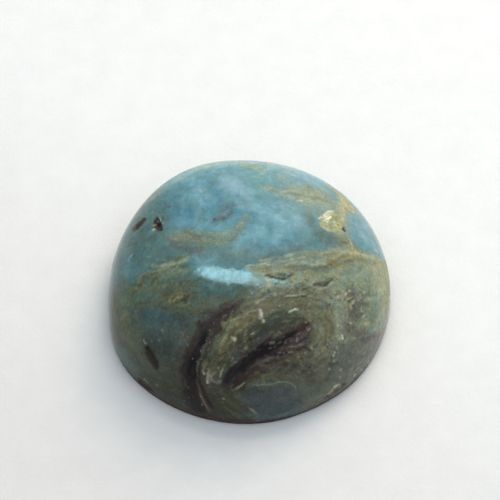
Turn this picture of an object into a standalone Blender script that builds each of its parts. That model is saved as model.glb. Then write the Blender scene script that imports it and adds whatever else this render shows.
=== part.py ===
"""A larimar cabochon: one polished stone with a high dome, a thin edge wall and a flat back.

The stone lies on its back. The origin is in the middle of the flat back, +Z goes up
through the dome, and the unit is the metre.
"""
import math

import bmesh
import bpy
from mathutils import Matrix, Vector, noise

# Driving dimensions of the stone
HALF_WIDTH = 0.0142
HALF_DEPTH = 0.01445
WALL_HEIGHT = 0.0008
DOME_HEIGHT = 0.0096

# The outline seen from above is a superellipse that hand grinding has left uneven.
# A swell is (direction in degrees from +X, spread in degrees, height in metres).
OUTLINE_POWER = 2.1
OUTLINE_SWELLS = (
    (180.0, 20.0, -0.00014),
    (210.0, 20.0, 0.00029),
    (240.0, 20.0, 0.00011),
    (270.0, 20.0, 0.00025),
    (300.0, 20.0, -0.00017),
    (330.0, 20.0, -0.00016),
    (0.0, 20.0, 0.00013),
)

# The dome's profile is a superellipse too, fuller on the far side.
# Here a swell adds to the power of the curve.
DOME_POWER = 2.5
DOME_SWELLS = (
    (60.0, 25.0, 0.1),
    (90.0, 25.0, 0.2),
    (120.0, 25.0, 0.5),
    (160.0, 25.0, -0.2),
)

# Edge wall: it leans in a little on its way down, and its lower corner is eased
WALL_LEAN = 0.0001
EASED_HEIGHT = 0.00025
EASED_WIDTH = 0.00035

# The mesh of the dome: squares along each side of the cube that it is blown up from
GRID = 28
CUTTER_ROUNDS = 3
CUTTER_ROUGHNESS = 0.16

# Pits and chips where softer grains broke out, each an uneven hollow:
# name, direction in degrees, share of the way from the top of the dome to its rim,
# length, width and depth in metres, and turn about the surface normal in degrees.
HOLLOWS = (
    ("cream_pit", 23.0, 0.366, 0.0030, 0.0023, 0.00028, -35.0),
    ("long_pit", 331.5, 0.339, 0.0022, 0.0009, 0.00025, 18.0),
    ("fissure", 306.0, 0.161, 0.0027, 0.0006, 0.00022, -6.0),
    ("dark_pit", 158.5, 0.428, 0.0017, 0.0010, 0.00030, 75.0),
    ("brown_pit", 157.5, 0.578, 0.0018, 0.0008, 0.00026, 40.0),
    ("left_chip", 226.5, 0.983, 0.0022, 0.0011, 0.00030, 2.0),
    ("right_chip", 308.5, 0.975, 0.0019, 0.0011, 0.00034, -4.0),
    ("front_chip", 301.5, 0.985, 0.0012, 0.0009, 0.00028, 5.0),
)

STONE_COLOUR = (0.10, 0.22, 0.24, 1.0)
STONE_ROUGHNESS = 0.15


def remove_old_objects():
    """Start from an empty scene."""
    for old in list(bpy.data.objects):
        bpy.data.objects.remove(old, do_unlink=True)


def swell(direction, swells):
    """Sum of the swells at a direction in degrees."""
    total = 0.0
    for centre, spread, height in swells:
        away = (direction - centre + 180.0) % 360.0 - 180.0
        total += height * math.exp(-((away / spread) ** 2))
    return total


def outline_radius(angle):
    """Distance from the middle of the back to the rim, at an angle in radians."""
    across = abs(math.cos(angle) / HALF_WIDTH) ** OUTLINE_POWER
    along = abs(math.sin(angle) / HALF_DEPTH) ** OUTLINE_POWER
    even = (across + along) ** (-1.0 / OUTLINE_POWER)
    return even + swell(math.degrees(angle), OUTLINE_SWELLS)


def dome_point(angle, share):
    """Point of the dome: share is 0 at its top and 1 at its rim."""
    power = DOME_POWER + swell(math.degrees(angle), DOME_SWELLS)
    slope = share * math.pi / 2.0
    reach = max(math.sin(slope), 0.0) ** (2.0 / power) * outline_radius(angle)
    height = WALL_HEIGHT + DOME_HEIGHT * max(math.cos(slope), 0.0) ** (2.0 / power)
    return Vector((reach * math.cos(angle), reach * math.sin(angle), height))


def dome_frame(angle, share):
    """Matrix whose Z axis is the dome's normal at a point, and whose X axis is level."""
    step = 0.01
    down = dome_point(angle, min(share + step, 1.0)) - dome_point(angle, share - step)
    along = dome_point(angle + step, share) - dome_point(angle - step, share)
    normal = down.cross(along).normalized()
    level = Vector((0.0, 1.0, 0.0)).cross(normal).normalized()
    if abs(normal.z) < 0.3:
        level = Vector((0.0, 0.0, 1.0)).cross(normal).normalized()
    across = normal.cross(level)
    axes = Matrix((level, across, normal)).transposed().to_4x4()
    return Matrix.Translation(dome_point(angle, share)) @ axes


def grid_dome(bm):
    """Upper half of a cube blown up to a ball, and then pressed to the dome."""
    bmesh.ops.create_cube(bm, size=2.0)
    bmesh.ops.subdivide_edges(bm, edges=bm.edges[:], cuts=GRID - 1, use_grid_fill=True)
    for vert in bm.verts:
        evened = [math.tan(value * math.pi / 4.0) for value in vert.co]
        vert.co = Vector(evened).normalized()
    everything = bm.verts[:] + bm.edges[:] + bm.faces[:]
    bmesh.ops.bisect_plane(
        bm, geom=everything, dist=1e-5, plane_co=(0.0, 0.0, 0.0), plane_no=(0.0, 0.0, 1.0),
        clear_inner=True,
    )
    for vert in bm.verts:
        upright = min(max(vert.co.z, 0.0), 1.0)
        share = math.acos(upright) / (math.pi / 2.0)
        vert.co = dome_point(math.atan2(vert.co.y, vert.co.x), share)


def wall_and_back(bm):
    """Edge wall, eased lower corner and flat back, drawn down from the dome's rim."""
    steps = (
        (EASED_HEIGHT, WALL_LEAN),
        (0.0, WALL_LEAN + EASED_WIDTH),
    )
    rim = [edge for edge in bm.edges if edge.is_boundary]
    for height, inset in steps:
        drawn = bmesh.ops.extrude_edge_only(bm, edges=rim)["geom"]
        for vert in [item for item in drawn if isinstance(item, bmesh.types.BMVert)]:
            angle = math.atan2(vert.co.y, vert.co.x)
            reach = outline_radius(angle) - inset
            vert.co = Vector((reach * math.cos(angle), reach * math.sin(angle), height))
        rim = [item for item in drawn if isinstance(item, bmesh.types.BMEdge)]
    bmesh.ops.contextual_create(bm, geom=rim)
    bmesh.ops.recalc_face_normals(bm, faces=bm.faces[:])


def middle_of_outline():
    """Middle of the outline's box, which becomes the origin."""
    rim = [dome_point(math.radians(step / 4.0), 1.0) for step in range(1440)]
    middle_x = (max(point.x for point in rim) + min(point.x for point in rim)) / 2.0
    middle_y = (max(point.y for point in rim) + min(point.y for point in rim)) / 2.0
    return Vector((middle_x, middle_y, 0.0))


def stone_material():
    """Polished blue-green stone."""
    material = bpy.data.materials.new("larimar")
    material.use_nodes = True
    surface = material.node_tree.nodes["Principled BSDF"]
    surface.inputs["Base Color"].default_value = STONE_COLOUR
    surface.inputs["Roughness"].default_value = STONE_ROUGHNESS
    surface.inputs["Metallic"].default_value = 0.0
    return material


def make_stone(middle):
    """The whole stone before its pits and chips."""
    bm = bmesh.new()
    grid_dome(bm)
    wall_and_back(bm)
    bmesh.ops.translate(bm, verts=bm.verts[:], vec=-middle)
    mesh = bpy.data.meshes.new("cabochon")
    bm.to_mesh(mesh)
    bm.free()
    stone = bpy.data.objects.new("cabochon", mesh)
    stone.data.materials.append(stone_material())
    bpy.context.scene.collection.objects.link(stone)
    return stone


def make_cutter(hollow, middle):
    """An uneven flattened ball, half sunk in the surface, that cuts one hollow."""
    name, direction, share, length, width, depth, turn = hollow
    bm = bmesh.new()
    bmesh.ops.create_icosphere(bm, subdivisions=CUTTER_ROUNDS, radius=1.0)
    seed = Vector((direction, share * 10.0, turn))
    for vert in bm.verts:
        vert.co *= 1.0 + CUTTER_ROUGHNESS * noise.noise(vert.co * 1.7 + seed)
    place = dome_frame(math.radians(direction), share)
    turned = Matrix.Rotation(math.radians(turn), 4, "Z")
    sized = Matrix.Diagonal((length / 2.0, width / 2.0, depth, 1.0))
    moved = Matrix.Translation(-middle) @ place @ turned @ sized
    bmesh.ops.transform(bm, matrix=moved, verts=bm.verts[:])
    mesh = bpy.data.meshes.new(name)
    bm.to_mesh(mesh)
    bm.free()
    cutter = bpy.data.objects.new(name, mesh)
    cutter.hide_render = True
    cutter.display_type = "WIRE"
    bpy.context.scene.collection.objects.link(cutter)
    return cutter


def cut_hollows(stone, middle):
    """Take every pit and chip out of the stone."""
    for hollow in HOLLOWS:
        cut = stone.modifiers.new(hollow[0], "BOOLEAN")
        cut.operation = "DIFFERENCE"
        cut.solver = "EXACT"
        cut.object = make_cutter(hollow, middle)


def main():
    remove_old_objects()
    middle = middle_of_outline()
    stone = make_stone(middle)
    cut_hollows(stone, middle)
    stone.data.shade_smooth()
    stone.data.set_sharp_from_angle(angle=math.radians(30.0))


main()
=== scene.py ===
import math
import random

import bmesh
import bpy
import numpy as np
from mathutils import Matrix, Vector, noise


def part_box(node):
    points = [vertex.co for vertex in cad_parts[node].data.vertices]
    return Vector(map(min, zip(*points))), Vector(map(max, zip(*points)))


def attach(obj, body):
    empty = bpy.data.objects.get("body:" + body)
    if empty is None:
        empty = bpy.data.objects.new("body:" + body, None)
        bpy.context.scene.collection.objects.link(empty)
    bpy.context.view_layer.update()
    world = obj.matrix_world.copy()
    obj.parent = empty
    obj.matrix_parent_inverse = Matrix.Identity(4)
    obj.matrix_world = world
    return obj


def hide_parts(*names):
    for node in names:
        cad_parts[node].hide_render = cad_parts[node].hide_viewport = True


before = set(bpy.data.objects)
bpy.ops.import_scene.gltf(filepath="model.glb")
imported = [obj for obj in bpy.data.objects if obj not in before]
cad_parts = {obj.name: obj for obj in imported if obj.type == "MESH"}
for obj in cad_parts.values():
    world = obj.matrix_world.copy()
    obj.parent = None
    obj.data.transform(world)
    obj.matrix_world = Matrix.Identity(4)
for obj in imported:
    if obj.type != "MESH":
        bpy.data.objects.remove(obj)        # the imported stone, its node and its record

bl_info = {
    "name": "Larimar Cabochon",
    "version": (1, 0, 0),
    "blender": (4, 5, 0),
    "location": "3D View > Sidebar > Cabochon",
    "description": "Makes a polished larimar cabochon on a pale floor",
    "category": "Add Mesh",
}

NODE = "cabochon"
BODY = "root"

LOW, HIGH = (Vector(corner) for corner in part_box(NODE))
SIZE = HIGH - LOW

# The shape, as the stone was ground: swells are (direction from +X, spread, height)
OUTLINE_POWER = 2.1
OUTLINE_SWELLS = (
    (180.0, 20.0, -0.00014),
    (210.0, 20.0, 0.00029),
    (240.0, 20.0, 0.00011),
    (270.0, 20.0, 0.00025),
    (300.0, 20.0, -0.00017),
    (330.0, 20.0, -0.00016),
    (0.0, 20.0, 0.00013),
)
DOME_POWER = 2.5
DOME_SWELLS = (
    (60.0, 25.0, 0.1),
    (90.0, 25.0, 0.2),
    (120.0, 25.0, 0.5),
    (160.0, 25.0, -0.2),
)

# Pits and chips where softer grains broke out: direction in degrees, share of the way from
# the top of the dome to its rim, length, width and depth in metres, and turn in degrees
HOLLOWS = (
    (23.0, 0.366, 0.0030, 0.0023, 0.00028, -35.0),
    (331.5, 0.339, 0.0022, 0.0009, 0.00025, 18.0),
    (306.0, 0.161, 0.0027, 0.0006, 0.00022, -6.0),
    (158.5, 0.428, 0.0017, 0.0010, 0.00030, 75.0),
    (157.5, 0.578, 0.0018, 0.0008, 0.00026, 40.0),
    (226.5, 0.983, 0.0022, 0.0011, 0.00030, 2.0),
    (308.5, 0.975, 0.0019, 0.0011, 0.00034, -4.0),
    (301.5, 0.985, 0.0012, 0.0009, 0.00028, 5.0),
    (17.0, 0.439, 0.0005, 0.0005, 0.00025, 0.0),
)
HOLLOW_RAG = 0.35
HOLLOW_FLOOR = 0.7
HOLLOW_CRUMB = 0.00035
HOLLOW_SHOWN = 0.6

# The camera: where it stands in the photograph, and the photograph's frame in pixels
FRAME_PIXELS = 500.0
SENSOR_WIDTH = 36.0

# The bar that shows on the polish hangs this far below the light that it stands for
BAR_DROP = 0.001

# How finely the wall and the back are divided
WALL_STEPS = 3
CORNER_STEPS = 4
BACK_GRID = 72
BACK_MARGIN = 0.0002

# Small relief: sizes of its noise, and its depth on the wall and in gritty minerals
RELIEF_COARSE = 0.0010
RELIEF_FINE = 0.00045
WALL_RELIEF = 0.000015
PIT_RELIEF = 0.00008

# How streaks are laid: points added between two, ragged edges in pixels, patchiness, and
# how fast bands change across and along a streak, per pixel
CURVE_STEPS = 4
RAG_REACH = 4.0
RAG_MOST = 2.2
RAG_SHARE = 0.28
PATCHINESS = 0.35
BAND_ACROSS = 0.30
BAND_ALONG = 0.03
WARPS = ((0.0040, 1.6), (0.0012, 1.4), (0.0005, 0.9), (0.00025, 0.5))
BACK_DRIFT = 26.0

# A filament's points between its ends, and its width along them
FILAMENT_POINTS = 3
FILAMENT_TAPER = (0.2, 0.8, 1.0, 0.8, 0.2)

# Where the picture stops following the camera, near the horizon of the dome
FAR_FACING = 0.2
FAR_STEPS = 200


class StoneShape(bpy.types.PropertyGroup):
    """Sizes of the stone."""

    half_width: bpy.props.FloatProperty(
        name="Half width", description="From the middle to the rim, left to right",
        default=0.0142, min=0.001, unit="LENGTH",
    )
    half_depth: bpy.props.FloatProperty(
        name="Half depth", description="From the middle to the rim, front to back",
        default=0.01445, min=0.001, unit="LENGTH",
    )
    wall_height: bpy.props.FloatProperty(
        name="Wall height", description="Height of the edge wall under the dome",
        default=0.0008, min=0.0, unit="LENGTH",
    )
    wall_lean: bpy.props.FloatProperty(
        name="Wall lean", description="How far the edge wall leans in at its foot",
        default=0.0001, min=0.0, unit="LENGTH",
    )
    eased_height: bpy.props.FloatProperty(
        name="Eased height", description="Height of the eased lower corner",
        default=0.00025, min=0.0, unit="LENGTH",
    )
    eased_width: bpy.props.FloatProperty(
        name="Eased width", description="Width of the eased lower corner",
        default=0.00035, min=0.0, unit="LENGTH",
    )
    grid: bpy.props.IntProperty(
        name="Grid", description="Squares along each side of the dome's grid",
        default=160, min=8, max=170,
    )


class StageSettings(bpy.types.PropertyGroup):
    """Camera, floor and lights."""

    elevation: bpy.props.FloatProperty(
        name="Elevation", description="Height angle of the camera",
        default=math.radians(54.0), subtype="ANGLE",
    )
    distance: bpy.props.FloatProperty(
        name="Distance", description="From the camera to the stone",
        default=0.27, unit="LENGTH",
    )
    focal_pixels: bpy.props.FloatProperty(
        name="Focal length", description="Focal length in pixels of the photograph",
        default=2700.0,
    )
    aim_right: bpy.props.FloatProperty(
        name="Aim right", description="How far the camera aims right of the stone's middle",
        default=0.00016, unit="LENGTH",
    )
    aim_up: bpy.props.FloatProperty(
        name="Aim up", description="How far the camera aims above the stone's middle",
        default=0.0030, unit="LENGTH",
    )
    aim_height: bpy.props.FloatProperty(
        name="Aim height", description="Height of the stone's middle above the floor",
        default=0.004, unit="LENGTH",
    )
    glow_turn: bpy.props.FloatProperty(
        name="Glow turn", description="Turn of the room's bright side, from the back to the right",
        default=math.radians(25.0), subtype="ANGLE",
    )
    glow_rise: bpy.props.FloatProperty(
        name="Glow rise", description="Height angle of the room's bright side",
        default=math.radians(30.0), subtype="ANGLE",
    )
    glow_start: bpy.props.FloatProperty(
        name="Glow start", description="Cosine of the angle at which the bright side starts",
        default=0.72, min=-1.0, max=1.0,
    )
    dim_light: bpy.props.FloatVectorProperty(
        name="Dim light", description="Light from the room's dim side",
        default=(0.385, 0.475, 0.585), subtype="COLOR", max=10.0,
    )
    glow_light: bpy.props.FloatVectorProperty(
        name="Glow light", description="Light from the room's bright side",
        default=(1.66, 1.52, 1.34), subtype="COLOR", max=10.0,
    )
    backdrop_low: bpy.props.FloatVectorProperty(
        name="Backdrop low", description="Colour of the backdrop where it meets the floor",
        default=(0.50, 0.51, 0.525), subtype="COLOR",
    )
    backdrop_high: bpy.props.FloatVectorProperty(
        name="Backdrop high", description="Colour of the backdrop higher up",
        default=(0.78, 0.785, 0.785), subtype="COLOR",
    )
    paper_colour: bpy.props.FloatVectorProperty(
        name="Paper colour", description="Colour of the pale floor",
        default=(0.865, 0.83, 0.775), subtype="COLOR",
    )
    shade_colour: bpy.props.FloatVectorProperty(
        name="Shade colour", description="Tint of the floor toward its shaded corner",
        default=(0.89, 0.865, 0.855), subtype="COLOR",
    )
    shade_end: bpy.props.FloatProperty(
        name="Shade end", description="Distance at which the floor's shade is full",
        default=0.026, unit="LENGTH",
    )
    near_place: bpy.props.FloatVectorProperty(
        name="Near light place", description="Where the near light stands",
        default=(0.10, 0.15, 0.17), subtype="TRANSLATION",
    )
    near_size: bpy.props.FloatProperty(
        name="Near light size", description="Width of the near light", default=0.14,
        unit="LENGTH",
    )
    near_brightness: bpy.props.FloatProperty(
        name="Near light brightness", description="Brightness of the near light's face",
        default=4.1,
    )
    room_place: bpy.props.FloatVectorProperty(
        name="Room light place", description="Where the room light hangs",
        default=(0.03, -0.10, 0.36), subtype="TRANSLATION",
    )
    room_size: bpy.props.FloatProperty(
        name="Room light size", description="Width of the room light", default=0.55,
        unit="LENGTH",
    )
    room_brightness: bpy.props.FloatProperty(
        name="Room light brightness", description="Brightness of the room light's face",
        default=0.78,
    )
    room_colour: bpy.props.FloatVectorProperty(
        name="Room light colour", description="Colour of the room light",
        default=(0.90, 0.97, 1.0), subtype="COLOR",
    )
    near_colour: bpy.props.FloatVectorProperty(
        name="Near light colour", description="Colour of the near light",
        default=(1.0, 0.95, 0.90), subtype="COLOR",
    )
    bar_length: bpy.props.FloatProperty(
        name="Bar length", description="Length of the ceiling light", default=0.200, unit="LENGTH",
    )
    bar_width: bpy.props.FloatProperty(
        name="Bar width", description="Width of the ceiling light", default=0.040, unit="LENGTH",
    )
    corner_length: bpy.props.FloatProperty(
        name="Corner length", description="How far the bar's corner is rounded along it",
        default=0.075, unit="LENGTH",
    )
    corner_share: bpy.props.FloatProperty(
        name="Corner share", description="Share of the bar's width over which it is rounded",
        default=0.95, min=0.01, max=1.0,
    )
    bar_right: bpy.props.FloatProperty(
        name="Bar right", description="Place of the ceiling light to the right",
        default=-0.0012, unit="LENGTH",
    )
    bar_back: bpy.props.FloatProperty(
        name="Bar back", description="Place of the ceiling light to the back",
        default=0.124, unit="LENGTH",
    )
    bar_turn: bpy.props.FloatProperty(
        name="Bar turn", description="Turn of the ceiling light about the upright axis",
        default=math.radians(-6.0), subtype="ANGLE",
    )
    bar_height: bpy.props.FloatProperty(
        name="Bar height", description="Height of the ceiling light", default=0.3, unit="LENGTH",
    )
    bar_brightness: bpy.props.FloatProperty(
        name="Bar brightness", description="Brightness of the ceiling light's face", default=5.6,
    )
    bar_shine: bpy.props.FloatProperty(
        name="Bar shine", description="Brightness of the bar that shows on the polish",
        default=24.5,
    )
    bar_colour: bpy.props.FloatVectorProperty(
        name="Bar colour", description="Colour of the ceiling light's bar on the polish",
        default=(0.50, 0.87, 1.0), subtype="COLOR",
    )
    bar_glow: bpy.props.FloatVectorProperty(
        name="Bar glow", description="Colour of the ceiling light on matt surfaces",
        default=(0.94, 0.91, 0.86), subtype="COLOR",
    )


def swell(direction, swells):
    """Sum of the swells at a direction in degrees."""
    total = 0.0
    for centre, spread, height in swells:
        away = (direction - centre + 180.0) % 360.0 - 180.0
        total = total + height * np.exp(-((away / spread) ** 2))
    return total


def outline_radius(angle, shape):
    """Distance from the middle of the back to the rim, at an angle in radians."""
    across = np.abs(np.cos(angle) / shape.half_width) ** OUTLINE_POWER
    along = np.abs(np.sin(angle) / shape.half_depth) ** OUTLINE_POWER
    even = (across + along) ** (-1.0 / OUTLINE_POWER)
    return even + swell(np.degrees(angle), OUTLINE_SWELLS)


def dome_points(angle, share, shape):
    """Points of the dome: share is 0 at its top and 1 at its rim."""
    power = DOME_POWER + swell(np.degrees(angle), DOME_SWELLS)
    slope = np.clip(share, 0.0, 1.0) * math.pi / 2.0
    reach = np.maximum(np.sin(slope), 0.0) ** (2.0 / power) * outline_radius(angle, shape)
    rise = np.maximum(np.cos(slope), 0.0) ** (2.0 / power)
    height = shape.wall_height + (SIZE.z - shape.wall_height) * rise
    return np.stack((reach * np.cos(angle), reach * np.sin(angle), height), axis=-1)


def middle_of_outline(shape):
    """Middle of the outline's box, which is the origin of the finished stone."""
    angle = np.radians(np.arange(1440) / 4.0)
    rim = dome_points(angle, np.ones_like(angle), shape)
    middle = (rim.max(axis=0) + rim.min(axis=0)) / 2.0
    middle[2] = 0.0
    return middle


def camera_axes(stage):
    """Right, up and backward directions of the camera."""
    rise = stage.elevation
    right = np.array((1.0, 0.0, 0.0))
    back = np.array((0.0, -math.cos(rise), math.sin(rise)))
    up = np.cross(back, right)
    return right, up, back


def camera_place(shape, stage):
    """Where the camera stands, in the finished stone's frame."""
    right, up, back = camera_axes(stage)
    aim = np.array((0.0, 0.0, stage.aim_height)) - middle_of_outline(shape)
    return aim + right * stage.aim_right + up * stage.aim_up + back * stage.distance


def to_pixels(points, shape, stage):
    """Where points of the finished stone are seen in the photograph's frame."""
    right, up, back = camera_axes(stage)
    away = points - camera_place(shape, stage)
    depth = -(away @ back)
    across = FRAME_PIXELS / 2.0 + stage.focal_pixels * (away @ right) / depth
    down = FRAME_PIXELS / 2.0 - stage.focal_pixels * (away @ up) / depth
    return np.stack((across, down), axis=-1)


# Minerals: base colour, and how dull, how gritty and how fibrous each one takes its polish
MINERALS = {
    "sky": ((0.114, 0.252, 0.280), 0.0, 0.0, 1.0),
    "pale_sky": ((0.215, 0.400, 0.450), 0.0, 0.0, 1.0),
    "lilac_sky": ((0.240, 0.370, 0.420), 0.0, 0.0, 1.0),
    "deep_blue": ((0.058, 0.190, 0.245), 0.0, 0.0, 1.0),
    "sea_green": ((0.140, 0.300, 0.270), 0.0, 0.0, 0.8),
    "frost": ((0.118, 0.205, 0.190), 0.45, 0.2, 0.6),
    "teal": ((0.060, 0.145, 0.140), 0.0, 0.0, 0.6),
    "grey_teal": ((0.088, 0.160, 0.142), 0.0, 0.1, 0.6),
    "sea_grey": ((0.060, 0.097, 0.082), 0.0, 0.1, 0.5),
    "slate": ((0.045, 0.060, 0.060), 0.0, 0.1, 0.3),
    "indigo": ((0.030, 0.034, 0.042), 0.1, 0.2, 0.3),
    "sage": ((0.085, 0.098, 0.062), 0.1, 0.4, 0.2),
    "pale_sage": ((0.215, 0.240, 0.150), 0.5, 0.4, 0.2),
    "leaf": ((0.100, 0.150, 0.095), 0.1, 0.3, 0.2),
    "olive": ((0.088, 0.086, 0.034), 0.8, 0.6, 0.0),
    "moss": ((0.030, 0.030, 0.015), 0.2, 0.4, 0.0),
    "ochre": ((0.165, 0.125, 0.042), 0.8, 0.7, 0.0),
    "tan": ((0.232, 0.232, 0.116), 0.9, 0.6, 0.0),
    "straw": ((0.345, 0.335, 0.172), 0.9, 0.6, 0.0),
    "cream": ((0.450, 0.425, 0.265), 0.9, 0.8, 0.0),
    "white": ((0.740, 0.710, 0.490), 0.5, 0.4, 0.0),
    "umber": ((0.122, 0.108, 0.052), 0.9, 0.7, 0.0),
    "brown": ((0.072, 0.056, 0.038), 0.7, 0.7, 0.0),
    "rust": ((0.110, 0.042, 0.022), 0.4, 0.5, 0.0),
    "maroon": ((0.038, 0.018, 0.013), 0.3, 0.6, 0.0),
    "dusk": ((0.038, 0.028, 0.023), 0.3, 0.5, 0.0),
    "black": ((0.007, 0.004, 0.003), 0.3, 0.5, 0.0),
    "pink": ((0.290, 0.230, 0.180), 0.5, 0.5, 0.0),
    "mauve": ((0.095, 0.066, 0.056), 0.4, 0.6, 0.0),
    "grey": ((0.145, 0.145, 0.112), 0.3, 0.7, 0.0),
}

# Streaks as they are seen in the photograph, laid on in order:
# mineral, strength, soft edge, banding, and points of (across, down, half width) in pixels
BROAD_ZONES = (
    ("sky", 1.00, 18, 0, ((186, 178, 30), (235, 184, 54), (300, 188, 54), (350, 208, 40),
                          (386, 240, 10))),
    ("grey_teal", 0.90, 26, 0, ((140, 190, 16), (150, 222, 20), (132, 262, 30))),
    ("grey_teal", 0.80, 22, 0, ((150, 252, 12), (200, 256, 9), (240, 262, 8), (270, 266, 6))),
    ("teal", 0.80, 22, 0, ((262, 258, 4), (290, 250, 5), (318, 242, 8), (338, 243, 5))),
    ("sage", 1.00, 16, 0, ((100, 300, 16), (165, 296, 20), (230, 300, 20), (290, 305, 24))),
    ("sage", 1.00, 20, 0, ((130, 350, 40), (220, 370, 52), (320, 360, 52))),
    ("pale_sage", 0.97, 14, 0, ((404, 272, 8), (378, 284, 22), (362, 304, 26), (344, 330, 16),
                                (326, 354, 6))),
    ("sage", 0.95, 12, 0, ((404, 314, 12), (394, 336, 14), (374, 360, 14))),
    ("tan", 0.85, 16, 0.2, ((256, 276, 4), (284, 276, 10), (330, 284, 16))),
    ("moss", 0.95, 34, 0, ((110, 364, 16), (150, 392, 20), (195, 400, 22), (240, 420, 10))),
    ("moss", 0.55, 22, 0, ((150, 350, 10), (178, 366, 14), (198, 380, 10))),
    ("grey", 0.95, 12, 0, ((318, 290, 9), (331, 304, 11), (337, 322, 10), (330, 344, 9))),
    ("sage", 1.00, 9, 0, ((334, 262, 7), (352, 264, 9), (372, 268, 7))),
    ("umber", 0.85, 14, 0.3, ((262, 304, 12), (236, 326, 16), (220, 350, 14), (212, 368, 8))),
    ("umber", 0.75, 14, 0.3, ((270, 300, 8), (306, 306, 12), (322, 332, 10), (316, 356, 8))),
    ("brown", 0.85, 16, 0.2, ((240, 360, 12), (276, 344, 16), (300, 352, 20), (316, 366, 16))),
    ("slate", 0.60, 24, 0, ((250, 404, 10), (284, 404, 12), (300, 398, 6))),
)
FAR_SIDE = (
    ("grey_teal", 0.75, 40, 0.1, ((60, 330, 20), (70, 270, 22), (96, 200, 22), (140, 130, 20))),
    ("sea_green", 0.60, 30, 0.1, ((180, 130, 10), (240, 110, 14), (310, 120, 12))),
    ("deep_blue", 0.70, 26, 0.1, ((170, 150, 6), (200, 140, 10), (224, 100, 10), (230, 66, 8))),
    ("pale_sky", 0.65, 22, 0, ((240, 150, 6), (262, 130, 9), (300, 112, 10), (330, 80, 6))),
    ("pale_sky", 0.50, 18, 0, ((130, 170, 5), (150, 140, 7), (180, 100, 8), (190, 70, 5))),
    ("deep_blue", 0.50, 20, 0, ((300, 150, 5), (330, 140, 8), (372, 130, 8))),
    ("pale_sage", 0.70, 26, 0.2, ((410, 290, 12), (424, 240, 14), (424, 190, 14), (400, 150, 8))),
    ("leaf", 0.55, 20, 0.2, ((110, 190, 8), (120, 140, 8), (150, 90, 10), (200, 60, 8))),
    ("olive", 0.65, 18, 0.4, ((100, 260, 6), (84, 220, 8), (90, 170, 8), (120, 110, 6))),
    ("moss", 0.70, 22, 0.2, ((150, 70, 8), (220, 52, 10), (300, 52, 10), (360, 80, 8))),
    ("brown", 0.60, 16, 0.3, ((60, 300, 6), (62, 240, 8), (78, 180, 6))),
    ("tan", 0.80, 7, 0.5, ((341, 196, 1), (362, 176, 4), (380, 150, 4), (372, 120, 3),
                           (340, 92, 2), (300, 80, 1))),
    ("tan", 0.60, 6, 0.5, ((390, 270, 2), (408, 236, 3), (410, 196, 3), (396, 166, 1))),
    ("tan", 0.55, 6, 0.5, ((262, 166, 1), (252, 148, 2), (230, 124, 3), (196, 112, 2),
                           (160, 116, 1))),
    ("maroon", 0.60, 8, 0.3, ((210, 120, 1), (190, 96, 2.4), (166, 84, 3), (140, 90, 1))),
    ("maroon", 0.55, 8, 0.3, ((410, 300, 1), (424, 262, 3), (436, 220, 2))),
    ("umber", 0.60, 8, 0.5, ((92, 310, 2), (76, 270, 3), (72, 220, 3), (88, 176, 1))),
)
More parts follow.
